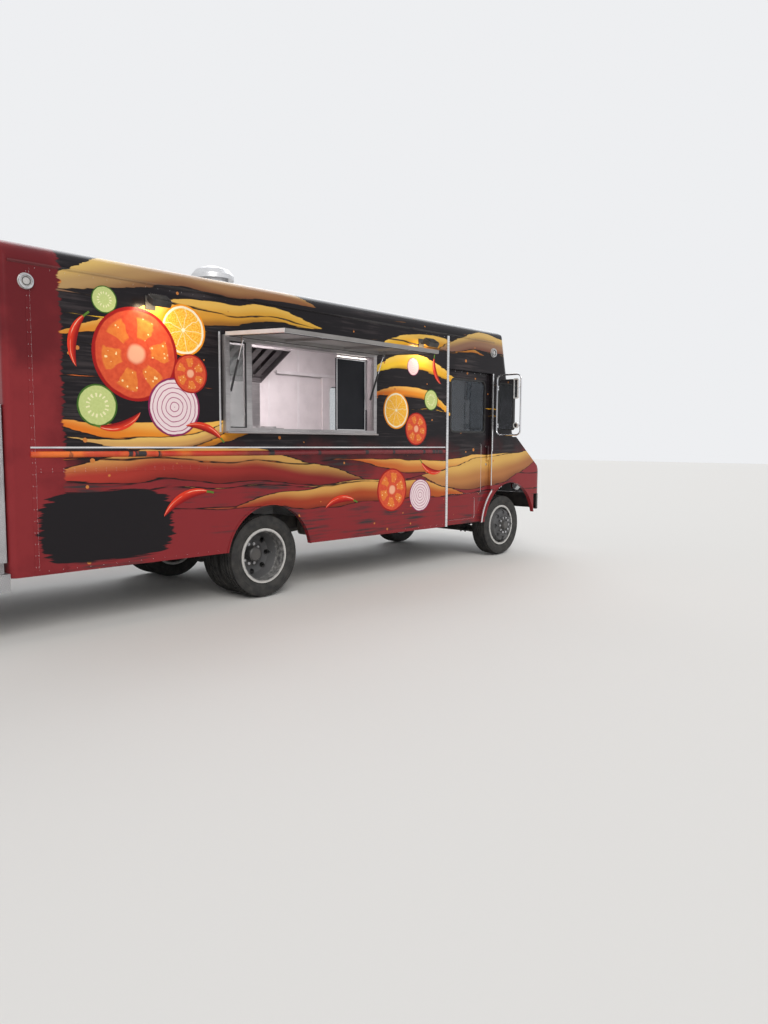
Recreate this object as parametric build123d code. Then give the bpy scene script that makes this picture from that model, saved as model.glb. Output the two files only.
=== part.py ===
"""A step van fitted out as a food truck, standing parked with its serving hatch open.

Built about the rear axle: +X runs forward, +Y to the driver's side, +Z up, in millimetres.
The serving hatch and the entry door in use are on the kerb side, at -Y. Every piece is moved
at the end so that the origin lies on the ground, at the middle of the whole truck's footprint.
"""

import os
from math import cos, radians, sin, sqrt

from build123d import *

# Frame
wheelbase = 4030
rail_over_hub = 344
rail_height = 190
rail_flange = 65
rail_web = 8
frame_inset = 710
rail_past_axle = 730
member_height = 110
member_thickness = 8
rear_member_inset = 230
member_steps = (660, 1260)

# Body shell
half_width = 1140
wall = 40
roof_skin = 40
floor_thickness = 50
skirt_drop = 305
side_height = 1980
crown = 160
shoulder_radius = 155
tail_overhang = 2390
tail_corner_radius = 48
door_post_setback = 430
screen_foot_ahead = 120
screen_height = 1090
screen_rake = 250
screen_corner_radius = 130
brow_radius = 190
cowl_height = 790
pane_gap = 28
pane_edge = 210
pane_sill = 70
pane_height = 830
pane_thickness = 6

# Nose and bumper
nose_reach = 840
nose_drop = 580
nose_depth = 450
bonnet_run = 170
bonnet_fall = 390
nose_taper = 20
nose_corner_radius = 200
nose_skin = 25
crease_radius = 80
bonnet_inset = 580
panel_gap = 6
bumper_proud = 75
bumper_height = 210
bumper_under = 210
bumper_corner_radius = 290
bumper_inset = 15
bumper_wrap = 230
bumper_plate = 8
tow_pin_radius = 16
tow_pin_depth = 90
grille_height = 150
grille_bars = 5
lamp_inset = 450
lamp_radius = 78
lamp_under_cowl = 692

# Wheels and axles
tyre_radius = 406
tyre_width = 225
bead_radius = 248
rim_flange_radius = 266
rim_width = 190
rim_gauge = 9
dish = 132
front_tyre_inset = 235
rear_twin_inset = 335
hand_holes = 8
hand_hole_radius = 27
hand_hole_circle = 176
wheel_bore = 62
drum_radius = 188
king_pin_inset = 385
king_pin_radius = 14
king_eye_radius = 28
king_eye_height = 88
spindle_radius = 32
bearing_radius = 40
running = 0.08
beam_drop = 46
beam_depth = 70
beam_width = 76
track_arm = 170
track_drop = 81
ball_radius = 8
axle_tube_radius = 62
housing_radius = 175
spring_width = 60
leaf_thickness = 9
front_spring = (-32, 560, 4)
rear_spring = (60, 640, 5)
front_arch_clearance = 174
arch_strip = 60
rear_arch_clearance = 94
lip_width = 14
lip_proud = 8

# Engine, exhaust and tank
engine_inset = 140
engine_size = (800, 600)
gearbox_size = (620, 320, 204)
shaft_radius = 38
silencer = (1200, 95)
silencer_from_gearbox = 500
pipe_radius = 28
tank_size = (900, 490, 235)

# Serving window, its frame and its hatch
window_start = -533
window_length = 1929
window_sill = 783
window_height = 861
frame_bar = 45
frame_proud = 50
frame_lining = 6
mullion = (254, 62)
sill_proud = 28
hatch_axis_out = 10
hatch_axis_drop = 14
hatch_reach = 825
hatch_thickness = 35
hatch_skin = 3
hatch_bar = 30
hatch_overlap = 12
hatch_droop = 3.4
hinge_radius = 8
hinge_knuckles = 9
hinge_gap = 1
strut_head_reach = 150
strut_head_drop = 35
strut_foot_drop = 470
strut_inset = 28
strut_tube_radius = 10
strut_rod_radius = 4.5
strut_bore_play = 1.5
strut_pin_radius = 4
strut_reserve = 34
board_size = (415, 732)
board_from_front = 113
board_thickness = 20

# Floor, its wheelhouses and steps, and the engine cover
sheet = 20
toe_setback = 70
toe_board_height = 550
house_gap = 20
front_house_length = 380
front_house_rise = 140
step_drop = 280
step_setback = 190
cover_height = 440
cover_reach = 60

# Doors
door_width = 900
door_height = 1585
door_thickness = 30
door_gap = 7
door_clearance = 9
door_lap = 18
door_travel = 800
door_window = (700, 642)
door_window_ahead = 110
door_window_sill = 840
door_handle_rise = 579
roller_radius = 14
glass_thickness = 6
track_height = 40
rear_door_start = 180
rear_door_width = 700
rear_door_sill = 30
rear_door_height = 1670
rear_window = (468, 630)
rear_window_rise = 900
rear_window_inset = 110
leaf_gap = 6
barrel_radius = 9

# Rear deck and gas locker
deck_depth = 460
deck_drop = 270
deck_height = 131
deck_plate = 8
locker_depth = 438
locker_gap = 12
locker_inset = 30
locker_width = 1040
locker_height = 1149
locker_stand = 83
locker_wall = 20
locker_jamb = 45
locker_foot = 50
locker_pin_radius = 7

# Trim, lamps, mirrors and fan
rub_rail_rise = 600
rub_rail_height = 46
rub_rail_proud = 16
trim_proud = 10
side_lamp_radius = 58
marker_radius = 28
tail_lamp_radius = 38
tail_lamp_height = 14
flood_places = (-1227, 2171)
mirror_reach = 360
mirror_height = 760
mirror_stand = 20
mirror_tube = 11
mirror_ahead = 60
fan_x = 600
fan_duct = 300
fan_hood_radius = 240
fan_drum_radius = 165
fan_curb_size = 400
fan_curb_height = 190
fan_drum_height = 205
fan_hood_height = 155

# Kitchen and cab
counter_depth = 400
counter_top_depth = 460
counter_rise = 796
counter_sheet = 36
line_depth = 540
line_rise = 880
line_start = -870
griddle_length = 1170
fryer_length = 730
range_length = 540
table_length = 690
table_depth = 640
table_gap = 40
table_rise = 840
basin_length = 390
basin_depth = 180
tap_reach = 190
tap_height = 230
wall_shelf_rise = 520
wall_shelf_depth = 260
hood_depth = 600
hood_past = 45
hood_heel_rise = 1467
hood_lip_rise = 1820
hood_gauge = 12
baffles = 16
baffle_gauge = 8
baffle_rail_lift = 50
fridge_length = 680
fridge_depth = 680
fridge_height = 1760
seat_inset = 625
seat_width = 390
seat_length = 460
seat_setback = 540
seat_rise = 380
cushion_height = 110
backrest_height = 690
steering_radius = 205
steering_rise = 700
fit = 1

kerb, driver = -1, 1
sides = ((kerb, "right"), (driver, "left"))
rail_top_z = tyre_radius + rail_over_hub
rail_z = (rail_top_z - rail_height, rail_top_z)
floor_z = (rail_top_z, rail_top_z + floor_thickness)
floor_top_z = floor_z[1]
skirt_z = floor_top_z - skirt_drop
drip_z = floor_top_z + side_height
roof_z = drip_z + crown
cowl_z = floor_top_z + cowl_height
rear_x = -tail_overhang
cab_joint_x = wheelbase - door_post_setback
screen_foot_x = wheelbase + screen_foot_ahead
nose_front_x = wheelbase + nose_reach
nose_top_z = cowl_z - nose_drop
nose_low_z = nose_top_z - nose_depth
bumper_front_x = nose_front_x + bumper_proud
bumper_z = (floor_top_z - bumper_under, floor_top_z - bumper_under + bumper_height)
inner_y = half_width - wall
wall_y = inner_y - fit
hood_front_y = wall_y - hood_depth
fan_place = (fan_x, hood_front_y + fit + fan_duct / 2)
frame_half_width = half_width - frame_inset
bonnet_half_width = half_width - bonnet_inset
lamp_spread = half_width - lamp_inset
front_tyre_y = half_width - front_tyre_inset
rear_twin_y = half_width - rear_twin_inset
king_pin_y = half_width - king_pin_inset
seat_y = half_width - seat_inset
tunnel_y = (60 - frame_half_width, frame_half_width - 60)
rear_arch_radius = tyre_radius + rear_arch_clearance
front_arch_radius = tyre_radius + front_arch_clearance
door_arch_radius = front_arch_radius + arch_strip
parts = {}


def block(x, y, z):
    """A box between two values on each axis."""
    size = (x[1] - x[0], y[1] - y[0], z[1] - z[0])
    middle = ((x[0] + x[1]) / 2, (y[0] + y[1]) / 2, (z[0] + z[1]) / 2)
    return Pos(*middle) * Box(*size)


def outward(side, low, high):
    """Two Y values on one side of the truck, from distances off the centreline, in rising order."""
    return tuple(sorted((side * low, side * high)))


def side_block(side, x, y, z):
    return block(x, outward(side, *y), z)


def along_y(face, y):
    """Extrudes a face drawn in X and Z between two Y values."""
    return extrude(Plane.XZ.offset(-y[1]) * face, y[1] - y[0])


def along_x(face, x):
    """Extrudes a face drawn in Y and Z between two X values."""
    return extrude(Plane.YZ.offset(x[0]) * face, x[1] - x[0])


def along_z(face, z):
    """Extrudes a face drawn in X and Y between two Z values."""
    return extrude(Plane.XY.offset(z[0]) * face, z[1] - z[0])


def polygon(*points):
    return make_face(Polyline(*points, close=True))


def rod(start, end, radius):
    """A round bar from one point to another."""
    a, b = Vector(*start), Vector(*end)
    return extrude(Plane(origin=a, z_dir=b - a) * Circle(radius), (b - a).length)


def bent_tube(points, bend, radius):
    """A round tube along straight runs with bends between them."""
    path = FilletPolyline(*points, radius=bend)
    return sweep(Plane(origin=path @ 0, z_dir=path % 0) * Circle(radius), path)


def rounded_face(x, z, radius):
    """A rounded rectangle between two values on each axis of its plane."""
    middle = ((x[0] + x[1]) / 2, (z[0] + z[1]) / 2)
    return Pos(*middle) * RectangleRounded(x[1] - x[0], z[1] - z[0], radius)


def disc_x(x, y, z, radius):
    """A round slug along the truck."""
    return along_x(Pos(y, z) * Circle(radius), x)


def disc_y(x, z, radius, y):
    """A round slug across the truck."""
    return along_y(Pos(x, z) * Circle(radius), y)


def barrel(x, y, z, radius):
    """A round slug standing upright."""
    return along_z(Pos(x, y) * Circle(radius), z)


def joined(shapes):
    first, *rest = shapes
    for shape in rest:
        first = first + shape
    return first


def solids(*shapes):
    return Compound([s for shape in shapes for s in shape.solids()])


# Body hull: a plan outline that leans back with the windscreen, under a round-shouldered roof.


def screen_x(z, inset=0):
    """Where the windscreen's plane stands at a height, pulled in by a wall's thickness."""
    slope = screen_rake / screen_height
    return screen_foot_x - slope * (z - cowl_z) - inset * sqrt(1 + slope * slope)


def body_hull(inset, low_z, top_z):
    half = half_width - inset
    left = rear_x + inset
    ends = []
    for z in (low_z, top_z):
        right = screen_x(z, inset)
        outline = polygon((left, -half), (right, -half), (right, half), (left, half))
        corners = outline.vertices().sort_by(Axis.X)
        outline = fillet(corners[:2], tail_corner_radius - inset)
        corners = [p for p in outline.vertices() if p.X > right - 1]
        ends.append(Pos(0, 0, z) * fillet(corners, screen_corner_radius - inset))
    hull = loft(ends, ruled=True)
    section = polygon((-half, low_z), (half, low_z), (half, top_z), (-half, top_z))
    section = fillet([p for p in section.vertices() if p.Y > top_z - 1], shoulder_radius - inset)
    hull &= along_x(section, (rear_x - 10, screen_foot_x + 400))
    foot, head, back = screen_x(low_z, inset), screen_x(top_z, inset), rear_x - 10
    profile = polygon((back, low_z), (foot, low_z), (head, top_z), (back, top_z))
    brow = [p for p in profile.vertices() if p.Y > top_z - 1 and p.X > 0]
    return hull & along_y(fillet(brow, brow_radius - inset), (-half_width, half_width))


outer_hull = body_hull(0, skirt_z, roof_z)
shell = outer_hull - body_hull(wall, skirt_z - 50, roof_z - roof_skin)
front_hub = (wheelbase, tyre_radius)
rear_hub = (0, tyre_radius)
through = (-half_width - 40, half_width + 40)
door_x = (cab_joint_x - 20 - door_width, cab_joint_x - 20)
door_head_z = floor_top_z + door_height
window_x = (window_start, window_start + window_length)
window_z = (floor_top_z + window_sill, floor_top_z + window_sill + window_height)
clear_x = (window_x[0] + frame_bar, window_x[1] - frame_bar)
clear_z = (window_z[0] + frame_bar, window_z[1] - frame_bar)


def make_side_wall(side):
    panel = shell & side_block(side, (rear_x, cab_joint_x), (inner_y, half_width), (skirt_z, drip_z))
    reach = outward(side, inner_y - 1, half_width + 1)
    panel -= block(door_x, reach, (skirt_z - 1, door_head_z))
    panel -= disc_y(*rear_hub, rear_arch_radius, through) + disc_y(*front_hub, door_arch_radius, through)
    if side == kerb:
        hole_x = (clear_x[0] - frame_lining, clear_x[1] + frame_lining)
        panel -= block(hole_x, reach, (clear_z[0] - frame_lining, clear_z[1] + frame_lining))
    flange = disc_y(
        *rear_hub, rear_arch_radius + lip_width, outward(side, half_width, half_width + lip_proud),
    )
    flange -= disc_y(*rear_hub, rear_arch_radius, through)
    return panel + (flange & block((-1000, 1000), through, (skirt_z, drip_z)))


parts["side_wall_right"] = make_side_wall(kerb)
parts["side_wall_left"] = make_side_wall(driver)
parts["roof"] = shell & block((rear_x, cab_joint_x), (-half_width, half_width), (drip_z, roof_z))

# Windscreen surround and brow, in one moulded cap, with a sill bead round each pane.
lean = Plane(origin=(screen_foot_x, 0, cowl_z), x_dir=(0, 1, 0), z_dir=(screen_height, 0, screen_rake))
cap = shell & block((cab_joint_x, screen_foot_x + 200), (-half_width, half_width), (cowl_z, roof_z))
panes = []
for side, name in sides:
    y = outward(side, pane_gap, half_width - pane_edge)
    rise = (pane_sill, pane_sill + pane_height)
    bead = rounded_face((y[0] - 14, y[1] + 14), (rise[0] - 14, rise[1] + 14), 59)
    cap += extrude(lean * bead, 7)
    cap -= extrude(lean * rounded_face(y, rise, 45), 30) + extrude(
        lean * rounded_face(y, rise, 45), -wall - 30,
    )
    pane = rounded_face((y[0] + 1, y[1] - 1), (rise[0] + 1, rise[1] - 1), 44)
    panes.append(extrude(lean.offset(-22) * pane, pane_thickness))
for i in range(-3, 4):
    cap -= lean * Pos(i * 260, pane_sill / 2, 0) * Box(150, 10, 60)
parts["cab_front"] = cap


# Nose: fenders and front panel, notched for the bumper, with the strip that closes the arch.


def nose_hull(inset):
    front = nose_front_x - inset
    past = 2 * bool(inset)
    back, low, top = cab_joint_x - past, nose_low_z - past * inset, cowl_z + past
    foot = screen_x(cowl_z, inset and wall)
    crease_x, crease_z = nose_front_x - bonnet_run - 0.7 * inset, cowl_z - bonnet_fall - inset
    points = [(back, low), (front, low), (front, nose_top_z - inset / 2), (crease_x, crease_z)]
    points += [
        (foot, cowl_z - 0.2 * inset), (foot, top), (back, top),
    ] if inset else [(foot, top), (back, top)]
    profile = polygon(*points)
    creases = [p for p in profile.vertices() if p.X > crease_x - 1 and p.Y > nose_top_z - 60]
    body = along_y(fillet(creases, crease_radius), (-half_width + inset, half_width - inset))
    half = half_width - inset
    tip = half - nose_taper
    plan = polygon(
        (back, -half), (screen_foot_x, -half), (front, -tip), (front, tip), (screen_foot_x, half),
        (back, half),
    )
    corners = [p for p in plan.vertices() if p.X > front - 1]
    return body & along_z(fillet(corners, nose_corner_radius - inset), (low, top))


def bumper_plan(inset):
    half = half_width - bumper_inset - inset
    front, back = bumper_front_x - inset, bumper_front_x - bumper_wrap - 90
    plan = polygon((back, -half), (front, -half), (front, half), (back, half))
    corners = [p for p in plan.vertices() if p.X > front - 1]
    return fillet(corners, bumper_corner_radius - inset)


nose = nose_hull(0) - nose_hull(nose_skin)
for side, name in sides:
    reach = outward(side, inner_y, half_width)
    nose += disc_y(*front_hub, door_arch_radius, reach) & block((0, cab_joint_x), reach, (skirt_z, drip_z))
    ring = disc_y(*front_hub, front_arch_radius + lip_width, outward(side, inner_y, half_width + lip_proud))
    nose += ring & block((0, nose_front_x), through, (nose_low_z, drip_z))
nose -= disc_y(*front_hub, front_arch_radius, through)
nose -= along_z(bumper_plan(-panel_gap), (nose_low_z - 10, bumper_z[1] + panel_gap))
grille_z = (bumper_z[1] + 22, bumper_z[1] + 22 + grille_height)
grille_y = (-frame_half_width, frame_half_width)
nose -= along_x(rounded_face(grille_y, grille_z, 20), (nose_front_x - 60, nose_front_x + 10))
lamp_z = cowl_z - lamp_under_cowl
for side, name in sides:
    nose -= disc_x(
        (nose_front_x - 90, nose_front_x + 10), side * lamp_spread, lamp_z, lamp_radius + panel_gap,
    )
bonnet_x = (screen_foot_x + 15, nose_front_x + 1)
bonnet_z = (nose_top_z - 12, cowl_z + 60)
bonnet_y = (-bonnet_half_width, bonnet_half_width)
bonnet_hole = block(
    (bonnet_x[0] - panel_gap, bonnet_x[1]),
    (bonnet_y[0] - panel_gap, bonnet_y[1] + panel_gap),
    (bonnet_z[0] - panel_gap, bonnet_z[1]),
)
parts["nose"] = nose - bonnet_hole
parts["bonnet"] = (nose_hull(0) - nose_hull(nose_skin)) & block(bonnet_x, bonnet_y, bonnet_z)

frame_width = 18
bars = rounded_face((grille_y[0] + 1, grille_y[1] - 1), (grille_z[0] + 1, grille_z[1] - 1), 19)
bars -= rounded_face(
    (grille_y[0] + frame_width, grille_y[1] - frame_width),
    (grille_z[0] + frame_width, grille_z[1] - frame_width), 8,
)
grille = along_x(bars, (nose_front_x - 26, nose_front_x - 3))
pitch = (grille_height - 2 * frame_width) / (grille_bars + 1)
louvre = polygon((0, -5), (18, -9), (18, -1), (0, 3))
for i in range(1, grille_bars + 1):
    blade = along_y(louvre, (grille_y[0] + frame_width - 1, grille_y[1] - frame_width + 1))
    grille += Pos(nose_front_x - 24, 0, grille_z[0] + frame_width + i * pitch) * blade
for i in (-1, 0, 1):
    y = i * frame_half_width / 2
    grille += block(
        (nose_front_x - 26, nose_front_x - 20), (y - 5, y + 5), (grille_z[0] + 2, grille_z[1] - 2),
    )
parts["grille"] = grille

bowl = polygon(
    (0, -60), (lamp_radius * 0.5, -60), (lamp_radius, -12), (lamp_radius, 0), (lamp_radius + 16, 0),
    (lamp_radius + 16, 7), (lamp_radius - 6, 10), (0, 22),
)
bowl = revolve(Plane.XZ * bowl, Axis.Z)
parts["head_lamps"] = solids(
    *[Pos(nose_front_x, s * lamp_spread, lamp_z) * Rot(0, 90, 0) * bowl for s, n in sides]
)

# Front bumper: a channel whose ends sweep back round the nose, on two brackets bored for a tow pin.
bumper = along_z(bumper_plan(0), bumper_z)
bumper -= along_z(bumper_plan(bumper_plate), (bumper_z[0] + bumper_plate, bumper_z[1] - bumper_plate))
lips = (bumper_z[0] - 1, bumper_z[1] + 1)
bumper -= along_z(bumper_plan(bumper_inset + 40), lips)
bumper -= block((bumper_front_x - bumper_wrap - 100, bumper_front_x - bumper_wrap), through, lips)
rail_front_x = wheelbase + rail_past_axle
bracket_y = (frame_half_width - 60, frame_half_width)
bracket_z = (bumper_z[0] - 10, bumper_z[0] + 140)
tow_pin = (bumper_front_x - 70, frame_half_width - 30)
for side, name in sides:
    bumper += side_block(side, (rail_front_x, bumper_front_x - 6), bracket_y, bracket_z)
    pin_z = (bracket_z[0] - 1, bracket_z[0] + tow_pin_depth)
    bumper -= barrel(tow_pin[0], side * tow_pin[1], pin_z, tow_pin_radius)
parts["front_bumper"] = bumper

# Floor deck: plate on the rails, raised over the wheels and sunk to a step at each entry.
toe_x = wheelbase - toe_setback
deck_x = (rear_x + wall, toe_x)
pocket_y = inner_y - door_gap - door_thickness - door_clearance
rear_house_y = rear_twin_y - dish - tyre_width / 2 - house_gap
rear_house_top = tyre_radius + rear_arch_radius + 24
front_house_x = toe_x - front_house_length
front_house_y = front_tyre_y - 365
front_house_top = floor_top_z + front_house_rise
step_x = (door_x[0] + sheet, front_house_x - step_setback)
step_y = (front_house_y + 200, pocket_y)
step_z = floor_top_z - step_drop
deck = block(deck_x, (-inner_y, inner_y), floor_z)
for side, name in sides:
    pocket_x = (door_x[0] - door_travel - 80, toe_x + 1)
    deck -= side_block(side, pocket_x, (pocket_y, inner_y + 1), (0, roof_z))
    house_x = (-rear_arch_radius - sheet, rear_arch_radius + sheet)
    deck += side_block(side, house_x, (rear_house_y - sheet, inner_y), (floor_z[0], rear_house_top))
    well_x = (-rear_arch_radius, rear_arch_radius)
    deck -= side_block(side, well_x, (rear_house_y, inner_y + 1), (0, rear_house_top - sheet))
    deck += side_block(
        side, (front_house_x, toe_x), (front_house_y - sheet, pocket_y), (floor_z[0], front_house_top),
    )
    well_x = (front_house_x + sheet, toe_x + 1)
    deck -= side_block(side, well_x, (front_house_y, pocket_y + 1), (0, front_house_top - sheet))
    deck -= side_block(side, step_x, step_y, (floor_z[0] - 1, floor_z[1] + 1))
    tray = side_block(side, step_x, step_y, (step_z, floor_z[0] + 1))
    inside_x = (step_x[0] + sheet, step_x[1] - sheet)
    tray -= side_block(side, inside_x, (step_y[0] + sheet, step_y[1] + 1), (step_z + sheet, floor_z[1] + 2))
    deck += tray
deck -= block((front_house_x, toe_x + 1), tunnel_y, (floor_z[0] - 1, floor_z[1] + 1))
toe_board = block(
    (toe_x - sheet, toe_x), (-front_house_y + sheet, front_house_y - sheet),
    (floor_z[1], floor_z[1] + toe_board_height),
)
cover_top = floor_top_z + cover_height
deck += toe_board - block((toe_x - sheet - 1, toe_x + 1), tunnel_y, (floor_z[0], cover_top + 10))
parts["floor_deck"] = deck

cover_x = (front_house_x - cover_reach, toe_x - sheet)
cover = block(cover_x, (tunnel_y[0] + 2, tunnel_y[1] - 2), (floor_top_z, cover_top))
cover = fillet(cover.edges().filter_by(Axis.X).sort_by(Axis.Z)[-2:], 60)
cover = fillet(
    cover.faces().sort_by(Axis.X)[0].edges().filter_by(Axis.X, reverse=True).sort_by(Axis.Z)[1:], 25,
)
parts["engine_cover"] = cover - block(
    (cover_x[0] + sheet, cover_x[1] + 1),
    (tunnel_y[0] + 2 + sheet, tunnel_y[1] - 2 - sheet),
    (floor_top_z - 1, cover_top - 2 * sheet),
)

# Ladder frame: two channels tied by folded cross members.
rail_x = (rear_x + wall, rail_front_x)
channel = polygon(
    (frame_half_width, rail_z[0]),
    (frame_half_width, rail_z[1]),
    (frame_half_width - rail_flange, rail_z[1]),
    (frame_half_width - rail_flange, rail_z[1] - rail_web),
    (frame_half_width - rail_web, rail_z[1] - rail_web),
    (frame_half_width - rail_web, rail_z[0] + rail_web),
    (frame_half_width - rail_flange, rail_z[0] + rail_web),
    (frame_half_width - rail_flange, rail_z[0]),
)
ladder = [along_x(channel, rail_x), along_x(channel, rail_x).mirror(Plane.XZ)]
member_z = (rail_z[1] - 40 - member_height, rail_z[1] - 40)
member_y = (-frame_half_width + rail_web, frame_half_width - rail_web)
seats = (-rear_spring[1], rear_spring[1])
members = [rear_x + rear_member_inset, seats[0] - member_steps[0], *seats, seats[1] + member_steps[1]]
for x in (*members, rail_front_x - 110):
    member = block((x - 30, x + 30), member_y, member_z)
    hollow_z = (member_z[0] + member_thickness, member_z[1] - member_thickness)
    ladder.append(member - block((x - 30 + member_thickness, x + 31), through, hollow_z))


# Leaf springs, arched between hangers, and the hangers on the rails.


def leaf_pack(x, side, seat_z, eye_z, spring):
    past_rail, half_length, leaves = spring
    y = frame_half_width + past_rail
    leaf_y = outward(side, y - spring_width / 2, y + spring_width / 2)
    base = seat_z + leaf_thickness * (leaves - 1)
    pack = []
    for i in range(leaves):
        half = half_length * (1 - 0.17 * i)
        low = base - leaf_thickness * i
        rise = (eye_z - base) * (half / half_length) ** 2
        lower = ThreePointArc((x - half, low + rise), (x, low), (x + half, low + rise))
        upper_start = (x + half, low + rise + leaf_thickness)
        upper = ThreePointArc(upper_start, (x, low + leaf_thickness), (x - half, low + rise + leaf_thickness))
        outline = make_face([lower, Line(lower @ 1, upper @ 0), upper, Line(upper @ 1, lower @ 0)])
        pack.append(along_y(outline, leaf_y))
    pack += [disc_y(x + end * half_length, eye_z + 6, 20, leaf_y) for end in (-1, 1)]
    return joined(pack)


def hanger(x, side, spring, eye_z, top_z):
    """Two cheeks beside a spring's eye."""
    y = frame_half_width + spring[0]
    cheeks = []
    for cheek in (-1, 1):
        inner = y + cheek * (spring_width / 2 + 1)
        cheek_y = outward(side, inner, inner + cheek * 8)
        profile = polygon((x - 32, top_z), (x + 32, top_z), (x + 22, eye_z - 24), (x - 22, eye_z - 24))
        cheeks.append(along_y(profile, cheek_y))
    return cheeks


beam_top_z = tyre_radius - beam_drop
front_eye_z = rail_z[0] - 90
rear_eye_z = rail_z[0] + 30
rear_seat_z = tyre_radius + axle_tube_radius
outrigger_z = rail_z[0] + 80
springs = []
for side, name in sides:
    springs.append(leaf_pack(wheelbase, side, beam_top_z, front_eye_z, front_spring))
    springs.append(leaf_pack(0, side, rear_seat_z, rear_eye_z, rear_spring))
    for end in (-1, 1):
        ladder += hanger(wheelbase + end * front_spring[1], side, front_spring, front_eye_z + 6, rail_z[0])
        x = end * rear_spring[1]
        ladder += hanger(x, side, rear_spring, rear_eye_z + 6, outrigger_z)
        arm_y = (frame_half_width - 1, frame_half_width + rear_spring[0] + spring_width / 2 + 9)
        ladder.append(side_block(side, (x - 32, x + 32), arm_y, (outrigger_z, outrigger_z + 12)))
parts["leaf_springs"] = solids(*springs)
parts["frame_rails"] = joined(ladder)

# Front axle: a dropped forged beam of I section with a king pin at each end.
eye_z = (tyre_radius - 34, tyre_radius - 34 + king_eye_height)
beam_x = (wheelbase - beam_width / 2, wheelbase + beam_width / 2)
low = beam_top_z - beam_depth
elbow, neck = king_pin_y - 135, king_pin_y - 55
right_half = [
    (elbow, low), (neck, eye_z[0] + 6), (king_pin_y, eye_z[0] + 6), (king_pin_y, eye_z[1] - 5),
    (elbow - 20, beam_top_z),
]
left_half = [(-y, z) for y, z in reversed(right_half)]
beam = along_x(polygon(*right_half, *left_half), beam_x)
web = rounded_face((-elbow + 30, elbow - 30), (low + 12, beam_top_z - 12), 10)
beam -= along_x(web, (beam_x[0] - 1, wheelbase - 9)) + along_x(web, (wheelbase + 9, beam_x[1] + 1))
for side, name in sides:
    beam += barrel(wheelbase, side * king_pin_y, eye_z, king_eye_radius)
    beam += barrel(wheelbase, side * king_pin_y, (eye_z[0] - 32, eye_z[1] + 40), king_pin_radius)
parts["front_axle"] = beam

# Steering knuckles: a fork round the axle's eye, a stub axle, a backing plate and a steering arm.
fork_height = 26
fork_gap = 2
backing_y = (king_pin_y + 37, king_pin_y + 47)
arm_x = wheelbase - track_arm
arm_z = (eye_z[0] - 31, eye_z[0] - 11)
spindle_end = front_tyre_y + dish + 30


def make_knuckle(side):
    pin = (wheelbase, side * king_pin_y)
    lobes = []
    for z in (
        (eye_z[0] - fork_gap - fork_height, eye_z[0] - fork_gap),
        (eye_z[1] + fork_gap, eye_z[1] + fork_gap + fork_height),
    ):
        lobes.append(barrel(*pin, z, king_eye_radius - 2))
        lobes.append(side_block(side, (wheelbase - 26, wheelbase + 26), (king_pin_y, backing_y[0]), z))
    plate_z = (eye_z[0] - fork_gap - fork_height, eye_z[1] + fork_gap + fork_height)
    lobes.append(side_block(side, (wheelbase - 60, wheelbase + 60), backing_y, plate_z))
    knuckle = joined(lobes) - barrel(*pin, (0, 1000), king_pin_radius + running)
    knuckle += disc_y(*front_hub, drum_radius, outward(side, backing_y[1] - 8, backing_y[1]))
    knuckle += disc_y(*front_hub, spindle_radius, outward(side, backing_y[1], spindle_end))
    arm = along_z(
        make_hull(
            [*(Pos(*pin) * Circle(24)).edges(), *(Pos(arm_x, side * king_pin_y) * Circle(18)).edges()]
        ), arm_z
    )
    arm -= barrel(*pin, (0, 1000), king_pin_radius + running)
    arm += barrel(arm_x, side * king_pin_y, (arm_z[0] - 40, arm_z[1]), ball_radius)
    return knuckle + arm


parts["knuckle_right"] = make_knuckle(kerb)
parts["knuckle_left"] = make_knuckle(driver)

# Track rod: a tube with an eye round each arm's ball pin. It rides on the driver's side knuckle,
# so the eye at the kerb side is bored wide where the linkage is open.
track_z = arm_z[0] - 28
track = rod((arm_x, -king_pin_y + 18, track_z), (arm_x, king_pin_y - 18, track_z), 14)
for side, name in sides:
    track += barrel(arm_x, side * king_pin_y, (track_z - 13, track_z + 13), 24)
    sleeve = rod((arm_x, side * (king_pin_y - 150), track_z), (arm_x, side * (king_pin_y - 40), track_z), 18)
    track += sleeve
track -= barrel(arm_x, driver * king_pin_y, (0, 1000), ball_radius + running)
track -= barrel(arm_x, kerb * king_pin_y, (0, 1000), ball_radius + 3)
parts["track_rod"] = track

# Rear axle: tubes into a round differential housing, with a bearing seat at each end.
pinion_y = 40
axle = disc_y(*rear_hub, axle_tube_radius, (-rear_twin_y + 110, rear_twin_y - 110))
bulb_profile = polygon(
    (0, -120), (90, -110), (housing_radius, -30), (housing_radius, 30), (90, 110), (0, 120),
)
axle += Pos(0, pinion_y, tyre_radius) * Rot(0, 90, 0) * revolve(Plane.XZ * bulb_profile, Axis.Z)
axle += disc_x((0, 235), pinion_y, tyre_radius, 75)
for side, name in sides:
    axle += disc_y(*rear_hub, bearing_radius, outward(side, rear_twin_y - 112, rear_twin_y + 70))
    axle += disc_y(*rear_hub, drum_radius, outward(side, rear_twin_y - 150, rear_twin_y - 142))
parts["rear_axle"] = axle

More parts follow.
